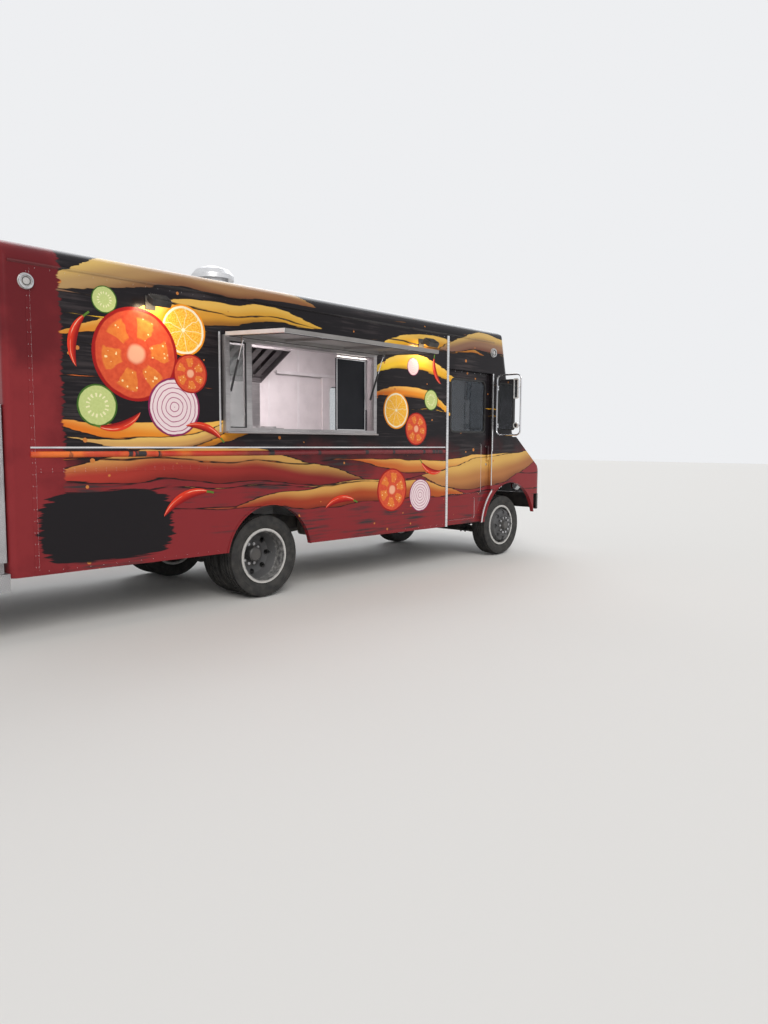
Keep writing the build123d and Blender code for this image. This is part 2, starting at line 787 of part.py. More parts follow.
# Engine and gearbox, as one plain block, and the shaft to the rear axle.
engine_x = (wheelbase - 410, wheelbase - 410 + engine_size[0])
engine_low = rail_z[0] - 40
engine_y = (engine_inset - frame_half_width, frame_half_width - engine_inset)
engine = block(engine_x, engine_y, (engine_low, engine_low + engine_size[1]))
gearbox_x = (engine_x[0] - gearbox_size[0], engine_x[0])
gearbox_z = (rail_z[1] - 6 - gearbox_size[2], rail_z[1] - 6)
engine += block(gearbox_x, (-gearbox_size[1] / 2, gearbox_size[1] / 2), gearbox_z)
parts["engine"] = engine
shaft_from, shaft_to = (235, pinion_y, tyre_radius + 8), (gearbox_x[0], 0, sum(gearbox_z) / 2 - 6)
shaft = rod(shaft_from, shaft_to, shaft_radius)
run = Vector(*shaft_to) - Vector(*shaft_from)
for part_way in (0.008, 0.985):
    joint = Vector(*shaft_from) + run * part_way
    shaft += Plane(origin=joint, z_dir=run) * Cylinder(shaft_radius + 14, 40)
parts["drive_shaft"] = shaft & block((236, shaft_to[0] - 1), (-200, 200), (0, rail_z[1]))

# Exhaust with its silencer, and the strapped fuel tank, hung outside the rails.
exhaust_y = frame_half_width + 130
exhaust_z = rail_z[0] + 30
tail_z = skirt_z - 60
silencer_end = gearbox_x[0] - silencer_from_gearbox
silencer_x = (silencer_end - silencer[0], silencer_end)
front_pipe = rod(
    (gearbox_x[1] - 60, exhaust_y, exhaust_z), (silencer_x[1], exhaust_y, exhaust_z), pipe_radius,
)
tail_pipe = bent_tube(
    [
        (silencer_x[0], exhaust_y, exhaust_z),
        (silencer_x[0] - 380, exhaust_y, exhaust_z),
        (silencer_x[0] - 480, exhaust_y + 60, tail_z),
        (silencer_x[0] - 480, half_width - 5, tail_z),
    ],
    50,
    pipe_radius,
)
can = disc_x(silencer_x, exhaust_y, exhaust_z, silencer[1])
can = fillet(can.edges().filter_by(GeomType.CIRCLE), 22)
exhaust = can + front_pipe + tail_pipe
bracket_x = sum(silencer_x) / 2
bracket_rise = (exhaust_z + 40, exhaust_z + 110)
exhaust += block((bracket_x - 10, bracket_x + 10), (frame_half_width, exhaust_y), bracket_rise)
parts["exhaust"] = exhaust
tank_middle = door_x[0] / 2
tank_x = (tank_middle - tank_size[0] / 2, tank_middle + tank_size[0] / 2)
tank_y = (-frame_half_width - 40 - tank_size[1], -frame_half_width - 40)
tank_z = (rail_z[1] - 15 - tank_size[2], rail_z[1] - 15)
tank = block(tank_x, tank_y, tank_z)
tank = fillet(tank.edges().filter_by(Axis.X), 45)
for x in (tank_x[0] + 200, tank_x[1] - 200):
    outside = Pos(0, sum(tank_y) / 2, sum(tank_z) / 2) * Box(50, tank_size[1] + 12, tank_size[2] + 12)
    outside = fillet(outside.edges().filter_by(Axis.X), 50)
    tank += Pos(x, 0, 0) * outside
    tank += block((x - 25, x + 25), (tank_y[1] - 1, -frame_half_width), (tank_z[1] - 130, tank_z[1] - 30))
parts["fuel_tank"] = tank


# Wheels: a pressed steel disc and rim, turned about the axle line; a tyre with round shoulders.


def turned(points, y, side):
    """Revolves a closed outline of (distance outboard, radius) about a wheel's axle line."""
    face = Plane.XY * polygon(*[(r, side * a) for a, r in points])
    return Pos(0, side * y, 0) * revolve(face, Axis.Y)


def make_tyre(y, side):
    half, seat = tyre_width / 2, rim_width / 2 - 17
    right = [
        (seat, bead_radius + 1), (seat + 6, rim_flange_radius + 2),
        (half, (tyre_radius + bead_radius) / 2),
    ]
    right += [(half - 7, tyre_radius - 24), (half - 26, tyre_radius - 3)]
    return turned(right + [(0, tyre_radius)] + [(-a, r) for a, r in reversed(right)], y, side)


def make_rim(face_y, bulge, side):
    """A rim whose disc bulges away from its tyre (bulge +1) or towards it (bulge -1), as on an outer twin."""
    centre, half = -dish * bulge, rim_width / 2
    inner = bead_radius - rim_gauge
    barrel_points = [
        (centre - half, rim_flange_radius), (centre - half + 10, rim_flange_radius),
        (centre - half + 16, bead_radius), (centre + half - 16, bead_radius),
        (centre + half - 10, rim_flange_radius), (centre + half, rim_flange_radius),
        (centre + half, inner), (centre - half, inner),
    ]
    weld = centre + bulge * (half - 62)
    disc_points = [
        (0, wheel_bore), (0, 128), (bulge * 5, 140), (-bulge * 16, 200), (weld, inner + 1),
        (weld - bulge * 14, inner + 1), (-bulge * 28, 192), (-bulge * 12, 136), (-bulge * 12, wheel_bore),
    ]
    wheel = turned(barrel_points, face_y, side) + turned(disc_points, face_y, side)
    hole = Pos(hand_hole_circle, side * face_y, 0) * Rot(90, 0, 0) * Cylinder(hand_hole_radius, 90)
    return wheel - joined([Rot(0, i * 360 / hand_holes, 0) * hole for i in range(hand_holes)])


for side, name in sides:
    to_front = Pos(wheelbase, 0, tyre_radius)
    to_rear = Pos(0, 0, tyre_radius)
    face = front_tyre_y + dish
    parts[f"front_tyre_{name}"] = to_front * make_tyre(front_tyre_y, side)
    inboard = backing_y[1] + 10 - face
    bore = spindle_radius + running
    drum = drum_radius + 4
    hub = [
        (inboard, bore), (31, bore), (31, 0), (48, 0), (48, 40), (40, 52), (0, wheel_bore + 2), (-12, 110),
        (-24, drum), (inboard, drum), (inboard, drum - 8), (-34, drum - 8), (-34, 75), (inboard, 75),
    ]
    parts[f"front_wheel_{name}"] = to_front * (make_rim(face, 1, side) + turned(hub, face, side))
    outer_y, twin_y = rear_twin_y + dish, rear_twin_y - dish
    parts[f"rear_tyres_{name}"] = to_rear * solids(make_tyre(outer_y, side), make_tyre(twin_y, side))
    bore = bearing_radius + running
    hub = [
        (-105, bore), (71, bore), (71, 0), (92, 0), (92, 58), (84, 70), (0, 76), (-12, 110),
        (-24, drum_radius), (-138, drum_radius), (-138, drum_radius - 8), (-34, drum_radius - 8),
        (-34, 70), (-105, 70),
    ]
    twin = make_rim(rear_twin_y, -1, side) + make_rim(rear_twin_y, 1, side)
    parts[f"rear_wheels_{name}"] = to_rear * (twin + turned(hub, rear_twin_y, side))

# Serving window: an aluminium frame that stands proud of the wall, with a mullion and a side light.
frame_y = (-half_width - frame_proud, -inner_y + 10)
lining_x = (clear_x[0] - frame_lining, clear_x[1] + frame_lining)
lining_z = (clear_z[0] - frame_lining, clear_z[1] + frame_lining)
clear = block(clear_x, (frame_y[0] - 1, frame_y[1] + 1), clear_z)
window_frame = block(
    window_x, (frame_y[0], -half_width), window_z,
) + block(lining_x, (-half_width, frame_y[1]), lining_z)
window_frame -= clear
mullion_x = (window_x[0] + mullion[0], window_x[0] + mullion[0] + mullion[1])
window_frame += block(mullion_x, (-half_width - 12, -inner_y), clear_z)
sill_y = (frame_y[0] - sill_proud, frame_y[0])
sill = block(window_x, sill_y, (window_z[0] - 4, window_z[0] + 12))
window_frame += fillet(sill.edges().filter_by(Axis.X).sort_by(Axis.Y)[:2], 6)
hatch_axis_y = frame_y[0] - hatch_axis_out
hatch_axis_z = window_z[1] - hatch_axis_drop
knuckle_length = window_length / hinge_knuckles
knuckle_runs = []
for i in range(hinge_knuckles):
    start = window_x[0] + i * knuckle_length + hinge_gap
    knuckle_runs.append((start, start + knuckle_length - 2 * hinge_gap))
for x in knuckle_runs[0::2]:
    window_frame += disc_x(x, hatch_axis_y, hatch_axis_z, hinge_radius)
    window_frame += block(x, (hatch_axis_y, frame_y[0]), (hatch_axis_z - 6, hatch_axis_z + 6))
strut_foot_y = -half_width - frame_proud / 2
strut_foot_z = hatch_axis_z - strut_foot_drop
strut_x = (clear_x[0] + strut_inset, clear_x[1] - strut_inset)
for x, jamb in zip(strut_x, clear_x):
    tip = x + (6 if jamb < x else -6)
    window_frame += disc_x(tuple(sorted((jamb, tip))), strut_foot_y, strut_foot_z, strut_pin_radius)
parts["window_frame"] = window_frame
side_light = block(
    (clear_x[0] + 0.5, mullion_x[0] - 0.5),
    (-half_width + 6, -half_width + 6 + glass_thickness),
    (clear_z[0] + 0.5, clear_z[1] - 0.5),
)
parts["fixed_glass"] = solids(*panes, side_light)

# Hatch: a framed panel, drawn as it hangs shut and then swung up to where it stands open.
hatch_x = (window_x[0] - hatch_overlap, window_x[1] + hatch_overlap)
hatch_top = -hinge_radius - 4
outer_face = -hatch_thickness
panel = block(hatch_x, (outer_face, 0), (-hatch_reach, hatch_top))
panel -= block(
    (hatch_x[0] + hatch_bar, hatch_x[1] - hatch_bar),
    (outer_face + hatch_skin, 1),
    (-hatch_reach + hatch_bar, hatch_top - hatch_bar),
)
board_x = (clear_x[1] - 68 - board_size[0], clear_x[1] - 68)
for x in (hatch_x[0] + (hatch_x[1] - hatch_x[0]) / 3, board_x[0]):
    panel += block((x, x + hatch_bar), (outer_face, -8), (-hatch_reach + 1, hatch_top - 1))
for x in knuckle_runs[1::2]:
    panel += disc_x(x, 0, 0, hinge_radius)
    panel += block(x, (-hinge_radius, -3), (hatch_top - 2, 0))
for x, jamb in zip(strut_x, clear_x):
    toward = 1 if jamb < x else -1
    ear_x = tuple(sorted((x - toward * 14, x - toward * 9)))
    ear = rounded_face(
        (outer_face + 1, strut_head_drop + 9), (-strut_head_reach - 14, -strut_head_reach + 14), 8,
    )
    panel += along_x(ear, ear_x)
hatch_place = Pos(0, hatch_axis_y, hatch_axis_z) * Rot(-(90 - hatch_droop), 0, 0)
parts["hatch"] = hatch_place * panel


def hatch_point(reach, drop):
    """A point of the open hatch: so far out along it, and so far below its underside."""
    tilt = radians(hatch_droop)
    y = hatch_axis_y - reach * cos(tilt) + drop * sin(tilt)
    z = hatch_axis_z - reach * sin(tilt) - drop * cos(tilt)
    return y, z


# Gas struts: each a tube on a stud at the jamb and a rod whose eye meets the hatch's ear.
head_y, head_z = hatch_point(strut_head_reach, strut_head_drop)
strut_length = sqrt((head_y - strut_foot_y) ** 2 + (head_z - strut_foot_z) ** 2)
strut_run = ((head_y - strut_foot_y) / strut_length, (head_z - strut_foot_z) / strut_length)
shut_offset = strut_foot_y - (hatch_axis_y + strut_head_drop)
shut_length = sqrt((strut_foot_drop - strut_head_reach) ** 2 + shut_offset ** 2)
tube_length = shut_length - strut_reserve
strut_bore = strut_rod_radius + strut_bore_play


def strut_point(x, distance):
    return (x, strut_foot_y + strut_run[0] * distance, strut_foot_z + strut_run[1] * distance)


tubes, rods = [], []
for x in strut_x:
    tube = rod(strut_point(x, 8), strut_point(x, tube_length), strut_tube_radius)
    tube -= rod(strut_point(x, 16), strut_point(x, tube_length + 1), strut_bore)
    tube += disc_x((x - 6, x + 6), strut_foot_y, strut_foot_z, 10)
    tube -= disc_x((x - 8, x + 8), strut_foot_y, strut_foot_z, strut_pin_radius + running)
    tubes.append(tube)
    ram = rod(strut_point(x, tube_length - 40), strut_point(x, strut_length - 4), strut_rod_radius)
    ram += disc_x((x - 5, x + 5), head_y, head_z, 9)
    ram -= disc_x((x - 6, x + 6), head_y, head_z, strut_pin_radius)
    rods.append(ram)
parts["strut_tubes"] = solids(*tubes)
parts["strut_rods"] = solids(*rods)

# Menu board, a shallow tray hung from the frame's head by two straps.
board_z = (clear_z[0] + 2, clear_z[0] + 2 + board_size[1])
board_y = (-half_width + 14, -half_width + 14 + board_thickness)
board = block(board_x, board_y, board_z)
board -= block(
    (board_x[0] + 14, board_x[1] - 14), (board_y[0] - 1, board_y[0] + 5),
    (board_z[0] + 14, board_z[1] - 14),
)
for x in (board_x[0] + 60, board_x[1] - 90):
    board += block((x, x + 30), (board_y[1] - 4, board_y[1]), (board_z[1] - 30, clear_z[1]))
parts["menu_board"] = board

# Sliding entry doors, hung on rollers inside the wall from an overhead channel.
leaf_x = (door_x[0] - door_lap, door_x[1] + door_lap)
leaf_z = (skirt_z + 5, door_head_z + 12)
leaf_y = (inner_y - door_gap - door_thickness, inner_y - door_gap)
leaf_middle = (leaf_y[0] + leaf_y[1]) / 2
pane_x = (door_x[0] + door_window_ahead, door_x[0] + door_window_ahead + door_window[0])
pane_z = (floor_top_z + door_window_sill, floor_top_z + door_window_sill + door_window[1])
channel_z = (leaf_z[1] + 4, leaf_z[1] + 4 + track_height)
channel_x = (leaf_x[0] - door_travel - 10, leaf_x[1] + 8)
handle_z = floor_top_z + door_handle_rise
channels = []
for side, name in sides:
    reach = outward(side, *leaf_y)
    leaf = block(leaf_x, reach, leaf_z) - disc_y(*front_hub, door_arch_radius - 8, through)
    leaf -= along_y(rounded_face(pane_x, pane_z, 60), (reach[0] - 1, reach[1] + 1))
    for low, high in ((skirt_z + 60, skirt_z + 330), (skirt_z + 380, pane_z[0] - 140)):
        panel_x = (leaf_x[0] + 90, leaf_x[1] - (300 if low < skirt_z + 300 else 170))
        pressing = rounded_face(panel_x, (low, high), 30)
        leaf -= along_y(pressing, outward(side, leaf_y[1] - 5, leaf_y[1] + 1))
    for x in (leaf_x[0] + 120, leaf_x[1] - 120):
        strap_y = (leaf_middle - 3, leaf_middle + 3)
        leaf += side_block(side, (x - 25, x + 25), strap_y, (leaf_z[1] - 1, channel_z[1] - 12))
        leaf += disc_y(
            x, channel_z[1] - 8 - roller_radius, roller_radius,
            outward(side, leaf_middle - 9, leaf_middle + 9),
        )
    grip_x = (leaf_x[1] - 76, leaf_x[1] - 48)
    grip = side_block(side, grip_x, (leaf_y[1] - 1, leaf_y[1] + 34), (handle_z - 95, handle_z + 95))
    grip = fillet(grip.edges().filter_by(Axis.X), 10)
    finger_y = (leaf_y[1], leaf_y[1] + 22)
    leaf += grip - side_block(side, (grip_x[0] - 1, grip_x[1] + 1), finger_y, (handle_z - 75, handle_z + 75))
    parts[f"door_{name}"] = leaf
    glass_y = outward(side, leaf_middle - glass_thickness / 2, leaf_middle + glass_thickness / 2)
    parts[f"door_glass_{name}"] = along_y(rounded_face(pane_x, pane_z, 60), glass_y)
    channel = side_block(side, channel_x, (leaf_y[0] - 6, inner_y), channel_z)
    slot_y = (leaf_y[0] - 1, leaf_y[1] + 2)
    channels.append(
        channel - side_block(
            side, (channel_x[0] - 1, channel_x[1] + 1), slot_y, (channel_z[0] - 1, channel_z[1] - 4),
        )
    )
parts["door_tracks"] = solids(*channels)

# Tail: a flat wall with a flush leaf on the driver's half, hung on three hinges.
tail_x = (rear_x, rear_x + wall)
opening_y = (rear_door_start, rear_door_start + rear_door_width)
opening_z = (floor_top_z + rear_door_sill, floor_top_z + rear_door_sill + rear_door_height)
tail = shell & block(tail_x, (-inner_y, inner_y), (skirt_z, drip_z))
tail -= block((tail_x[0] - 1, tail_x[1] + 1), opening_y, opening_z)
flush_y = (opening_y[0] + leaf_gap, opening_y[1] - leaf_gap)
flush = block(tail_x, flush_y, (opening_z[0] + leaf_gap, opening_z[1] - leaf_gap))
light_y = (flush_y[0] + rear_window_inset, flush_y[0] + rear_window_inset + rear_window[0])
light_z = (floor_top_z + rear_window_rise, floor_top_z + rear_window_rise + rear_window[1])
light = rounded_face(light_y, light_z, 50)
flush -= along_x(light, (tail_x[0] - 1, tail_x[1] + 1))
flush -= along_x(
    rounded_face((flush_y[0] + 80, flush_y[1] - 80), (opening_z[0] + 90, light_z[0] - 160), 30),
    (rear_x - 1, rear_x + 5),
)
hinge_x, hinge_y = rear_x - barrel_radius - 1, opening_y[1] + 2
for z in (opening_z[0] + 170, sum(opening_z) / 2 - 5, opening_z[1] - 140):
    flush += barrel(hinge_x, hinge_y, (z - 30, z + 30), barrel_radius)
    flush += block((rear_x - 6, rear_x), (flush_y[1] - 60, hinge_y), (z - 30, z + 30))
    for end in (-1, 1):
        leaf_run = tuple(sorted((z + end * 31, z + end * 61)))
        tail += barrel(hinge_x, hinge_y, leaf_run, barrel_radius)
        tail += block((rear_x - 6, rear_x), (hinge_y, hinge_y + 60), leaf_run)
bail_y, bail_z = flush_y[0] + 70, (floor_top_z + 500, floor_top_z + 660)
flush += bent_tube(
    [
        (rear_x + 1, bail_y, bail_z[0]), (rear_x - 45, bail_y, bail_z[0]),
        (rear_x - 45, bail_y, bail_z[1]), (rear_x + 1, bail_y, bail_z[1]),
    ],
    18,
    8,
)
parts["rear_wall"] = tail
parts["rear_door"] = flush
parts["rear_door_glass"] = along_x(
    light, (rear_x + wall / 2 - glass_thickness / 2, rear_x + wall / 2 + glass_thickness / 2),
)

# Rear deck and bumper of tread plate, on two arms under the rails, with the gas locker on it.
deck_z = (floor_top_z - deck_drop - deck_height, floor_top_z - deck_drop)
plate_x = (rear_x - deck_depth, rear_x)
plate_y = (-half_width + 20, half_width - 20)
platform = block(plate_x, plate_y, deck_z)
platform = fillet(platform.edges().filter_by(Axis.Z).sort_by(Axis.X)[:2], 40)
platform -= block(
    (plate_x[0] + deck_plate, plate_x[1] + 1), (plate_y[0] + deck_plate, plate_y[1] - deck_plate),
    (deck_z[0] - 1, deck_z[1] - deck_plate),
)
arm_y = (frame_half_width - rail_flange, frame_half_width - rail_flange + 40)
for side, name in sides:
    platform += side_block(side, (plate_x[0] + 2, rear_x + 160), arm_y, (deck_z[0] + 10, skirt_z - 6))
    platform += side_block(side, (plate_x[0] + 2, rear_x - 1), arm_y, (deck_z[0] + 10, deck_z[1] - 2))
    platform += side_block(side, (rear_x + wall + 5, rear_x + 160), arm_y, (deck_z[0] + 11, rail_z[0]))
parts["rear_deck"] = platform

locker_x = (rear_x - locker_gap - locker_depth, rear_x - locker_gap)
locker_y = (locker_inset - half_width, locker_inset - half_width + locker_width)
locker_z = (deck_z[1] + locker_stand, deck_z[1] + locker_stand + locker_height)
locker = block(locker_x, locker_y, locker_z)
locker = fillet(locker.edges().filter_by(Axis.Z), 10)
locker -= block(
    (locker_x[0] + locker_wall, locker_x[1] - locker_wall),
    (locker_y[0] + locker_wall, locker_y[1] - locker_wall),
    (locker_z[0] + locker_wall, locker_z[1] - locker_wall),
)
mouth_y = (locker_y[0] + locker_jamb, locker_y[1] - locker_jamb)
mouth_z = (locker_z[0] + locker_jamb, locker_z[1] - locker_jamb)
locker -= block((locker_x[0] - 1, locker_x[0] + locker_wall + 1), mouth_y, mouth_z)
for x in (locker_x[0] + 40, locker_x[1] - 40):
    for y in (locker_y[0] + 60, locker_y[1] - 60):
        foot = block(
            (x - locker_foot / 2, x + locker_foot / 2), (y - locker_foot / 2, y + locker_foot / 2),
            (deck_z[1], locker_z[0]),
        )
        locker += foot
locker_hinge = (locker_x[0] - 8, mouth_y[0] - 2)
lid = block(
    (locker_x[0], locker_x[0] + locker_wall),
    (mouth_y[0] + leaf_gap, mouth_y[1] - leaf_gap),
    (mouth_z[0] + leaf_gap, mouth_z[1] - leaf_gap),
)
for z in (locker_z[0] + 200, locker_z[1] - 200):
    lid += barrel(*locker_hinge, (z - 25, z + 25), locker_pin_radius)
    lid += block((locker_x[0] - 5, locker_x[0]), (locker_hinge[1], mouth_y[0] + 50), (z - 25, z + 25))
    for end in (-1, 1):
        leaf_run = tuple(sorted((z + end * 26, z + end * 52)))
        locker += barrel(*locker_hinge, leaf_run, locker_pin_radius)
        locker += block((locker_x[0] - 5, locker_x[0]), (locker_hinge[1] - 35, locker_hinge[1]), leaf_run)
latch_z = sum(locker_z) / 2
latch = block(
    (locker_x[0] - 14, locker_x[0] + 1), (mouth_y[1] - 96, mouth_y[1] - 36), (latch_z - 55, latch_z + 55),
)
lid += fillet(latch.edges().filter_by(Axis.X), 8)
parts["gas_locker"] = locker
parts["locker_door"] = lid

# Rub rails of half-round section, door posts, arch trim and gutter, in bright aluminium.
rub_z = floor_top_z + rub_rail_rise
rail_start = rear_x + 165
rub_face = make_face(
    [
        Line((0, -rub_rail_height / 2), (0, rub_rail_height / 2)),
        ThreePointArc((0, rub_rail_height / 2), (rub_rail_proud, 0), (0, -rub_rail_height / 2)),
    ]
)
post_x = (door_x[0] - 38, door_x[0])
trims = []
for side, name in sides:
    rub = along_x(rub_face, (rail_start, post_x[0] - 12))
    rub = Pos(0, half_width, rub_z) * rub
    bead = block((rail_start, post_x[0] - 12), (half_width, half_width + 7), (rub_z + 46, rub_z + 58))
    post = block(post_x, (half_width, half_width + trim_proud), (skirt_z, drip_z - 12))
    front_post = block(
        (door_x[1], cab_joint_x), (half_width, half_width + trim_proud), (drip_z - 1380, door_head_z),
    )
    band = disc_y(*front_hub, door_arch_radius + 20, (half_width, half_width + trim_proud))
    band -= disc_y(*front_hub, door_arch_radius, through)
    band &= block((door_x[0], cab_joint_x), through, (skirt_z, drip_z - 1380))
    gutter = make_face(
        [Line((0, -12), (0, 8)), Line((0, 8), (14, 8)), Line((14, 8), (10, -2)), Line((10, -2), (0, -12))]
    )
    drip = Pos(0, half_width, drip_z) * along_x(gutter, (rear_x + tail_corner_radius, cab_joint_x))
    pieces = [rub, bead, post, front_post + band, drip]
    trims += pieces if side == driver else [p.mirror(Plane.XZ) for p in pieces]
parts["side_trim"] = solids(*trims)


# Marker and side lamps: shallow domes on a base.


def dome(radius, height):
    base = height / 3
    arc = TangentArc((0, height), (radius, base), tangent=(1, 0))
    edges = [Line((0, 0), (radius, 0)), Line((radius, 0), (radius, base)), arc, Line((0, height), (0, 0))]
    return revolve(Plane.XZ * make_face(edges), Axis.Z)


lamps = []
for side, name in sides:
    for x in (rear_x + 174, cab_joint_x - 13):
        lamps.append(
            Pos(x, side * half_width, drip_z - 132) * Rot(-side * 90, 0, 0) * dome(side_lamp_radius, 18)
        )
    lamps.append(Pos(nose_front_x, side * (lamp_spread - 175), lamp_z) * Rot(0, 90, 0) * dome(34, 14))
for z in (floor_top_z - 40, floor_top_z + 100):
    lamps.append(Pos(rear_x, driver * (half_width - 130), z) * Rot(0, -90, 0) * dome(55, 20))
for y in (140 - half_width, -90, 0, 90, half_width - 140):
    lamps.append(Pos(rear_x, y, drip_z - 60) * Rot(0, -90, 0) * dome(marker_radius, 14))
brow_z = cowl_z + screen_height - 40
for y in (320 - half_width, -160, 0, 160, half_width - 320):
    stand = lean * Pos(y, (brow_z - cowl_z) * sqrt(1 + (screen_rake / screen_height) ** 2), 0)
    lamps.append(stand * dome(marker_radius, 16))
for side, name in sides:
    lamps.append(
        Pos(
            plate_x[0], side * (half_width - 120), sum(deck_z) / 2,
        ) * Rot(0, -90, 0) * dome(tail_lamp_radius, tail_lamp_height)
    )
parts["marker_lamps"] = solids(*lamps)

# Flood lamps over the wall, on short arms, tipped down.
floods = []
for x in flood_places:
    lamp_at = drip_z - 150
    plate = block((x - 45, x + 45), (-half_width - 8, -half_width), (lamp_at - 60, lamp_at + 50))
    arm = bent_tube(
        [(x, -half_width - 4, lamp_at), (x, -half_width - 70, lamp_at), (x, -half_width - 130, lamp_at + 20)],
        25, 11,
    )
    head = Box(170, 110, 46)
    head = fillet(head.edges().filter_by(Axis.Z), 12)
    for i in range(-4, 5):
        head += Pos(i * 17, 0, 27) * Box(3, 96, 16)
    floods.append(plate + arm + Pos(x, -half_width - 150, lamp_at - 6) * Rot(32, 0, 0) * head)
parts["flood_lamps"] = solids(*floods)

# Kitchen exhaust fan: curb box, drum and a low spun hood, over the range hood.
fan_curb = Pos(*fan_place, roof_z + fan_curb_height / 2) * Box(fan_curb_size, fan_curb_size, fan_curb_height)
fan_curb = fillet(fan_curb.edges().filter_by(Axis.Z), 15)
fan_curb = fillet(fan_curb.faces().sort_by(Axis.Z)[-1].edges(), 6)
drum_z = roof_z + fan_curb_height
drum = Pos(*fan_place, drum_z + fan_drum_height / 2) * Cylinder(fan_drum_radius, fan_drum_height)
for i in range(4):
    rib = Pos(*fan_place, drum_z + fan_drum_height / 2) * Rot(0, 0, 45 + 90 * i) * Pos(fan_drum_radius, 0, 0)
    drum += rib * Box(30, 6, fan_drum_height)
brim, crest = fan_hood_radius, fan_hood_height
spun = polygon(
    (0, 0), (brim, 0), (brim, crest * 0.3), (brim * 0.79, crest * 0.7), (brim * 0.3, crest * 0.97),
    (0, crest),
)
spun = fillet([p for p in spun.vertices() if p.X > 1 and p.Y > crest * 0.25], 20)
parts["roof_fan"] = fan_curb + drum + Pos(
    *fan_place, drum_z + fan_drum_height,
) * revolve(Plane.XZ * spun, Axis.Z)

# Mirrors: a bent tube loop on two arms, a flat head, a round wide-angle glass and a tall narrow one.
mirror_y = (half_width + mirror_stand, half_width + mirror_stand + mirror_reach)
mirror_low = floor_top_z + 810
mirror_z = (mirror_low, mirror_low + mirror_height)
mirror_x = cab_joint_x + mirror_ahead


def make_mirror(side):
    loop = [
        (mirror_x, y, z) for y, z in (
            (mirror_y[0], mirror_z[0]), (mirror_y[1], mirror_z[0]), (mirror_y[1], mirror_z[1]),
            (mirror_y[0], mirror_z[1]),
        )
    ]
    ring = FilletPolyline(*loop, radius=60, close=True)
    mirror = sweep(Plane(origin=ring @ 0.25, z_dir=ring % 0.25) * Circle(mirror_tube), ring)
    head = rounded_face((mirror_y[0] + 40, mirror_y[1] - 96), (mirror_z[0] + 60, mirror_z[1] - 60), 25)
    head = along_x(head, (mirror_x - 16, mirror_x + 30))
    mirror += fillet(head.faces().sort_by(Axis.X)[-1].edges(), 16)
    mirror += disc_x((mirror_x - 16, mirror_x + 20), mirror_y[1] - 60, mirror_z[0] + 120, 34)
    tall = rounded_face((mirror_y[1] - 90, mirror_y[1] - 34), (mirror_z[1] - 300, mirror_z[1] - 60), 18)
    mirror += along_x(tall, (mirror_x - 10, mirror_x + 20))
    foot_x = mirror_x + 50
    for z in (mirror_z[0] + 120, mirror_z[1] - 160):
        mirror += rod((mirror_x + 8, mirror_y[0] - 1, z), (mirror_x + 8, mirror_y[1] + 1, z), 8)
        mirror += rod((foot_x, half_width + 9, z), (mirror_x + 8, mirror_y[0] + 5, z), 8)
        foot = block((foot_x - 30, foot_x + 30), (half_width, half_width + 12), (z - 26, z + 26))
        mirror += fillet(foot.edges().filter_by(Axis.Y), 10)
    return mirror if side == driver else mirror.mirror(Plane.XZ)


parts["mirrors"] = solids(make_mirror(kerb), make_mirror(driver))

# Kitchen, kerb side: the service counter under the window, an open carcass with shelves.
over_wheel = block(
    (
        -rear_arch_radius - sheet - fit, rear_arch_radius + sheet + fit,
    ), (-inner_y, -rear_house_y + sheet + fit + 5), (0, rear_house_top + fit)
)
counter_x = (window_x[0], window_x[1] - 80)
counter_z = (floor_top_z, floor_top_z + counter_rise - counter_sheet)
back_y = -wall_y
counter = block(counter_x, (back_y, back_y + counter_depth), counter_z)
bays = 3
bay = (counter_x[1] - counter_x[0] - 20) / bays
for i in range(bays):
    bay_x = (counter_x[0] + 20 + i * bay, counter_x[0] + (i + 1) * bay)
    for low, high in ((floor_top_z + 60, floor_top_z + 380), (floor_top_z + 400, counter_z[1] - 20)):
        counter -= block(bay_x, (back_y + 20, back_y + counter_depth + 1), (low, high))
slab = block(
    (counter_x[0] - 20, counter_x[1] + 20), (back_y, back_y + counter_top_depth),
    (counter_z[1], counter_z[1] + counter_sheet),
)
slab = fillet(slab.edges().filter_by(Axis.X).sort_by(Axis.Y)[-2:], 12)
parts["service_counter"] = counter + slab - over_wheel

# Kitchen, driver's side: a work table with its sink, then griddle, fryers and range on legs.
over_wheel_left = over_wheel.mirror(Plane.XZ)
face_y = wall_y - line_depth
line_z = (floor_top_z + 100, floor_top_z + line_rise)
cooker_face = polygon(
    (face_y + 20, line_z[0]),
    (face_y + 20, line_z[1] - 180),
    (face_y, line_z[1] - 160),
    (face_y + 30, line_z[1] - 30),
    (face_y + 30, line_z[1]),
    (wall_y - 32, line_z[1]),
    (wall_y - 32, line_z[0]),
)
griddle_x = (line_start, line_start + griddle_length)
fryer_x = (griddle_x[1] + 4, griddle_x[1] + 4 + fryer_length)
range_x = (fryer_x[1] + 4, fryer_x[1] + 4 + range_length)
knob_z = line_z[1] - 95


def make_cooker(x, knobs):
    """A cooker's cabinet with its sloped control panel, knobs and four legs."""
    cooker = along_x(cooker_face, x)
    for i in range(knobs):
        knob_x = x[0] + (x[1] - x[0]) * (i + 0.5) / knobs
        cooker += disc_y(knob_x, knob_z, 20, (face_y - 22, face_y + 25))
    for foot_x in (x[0] + 50, x[1] - 50):
        for foot_y in (face_y + 80, wall_y - 90):
            cooker += barrel(foot_x, foot_y, (floor_top_z, line_z[0] + 1), 20)
    return cooker


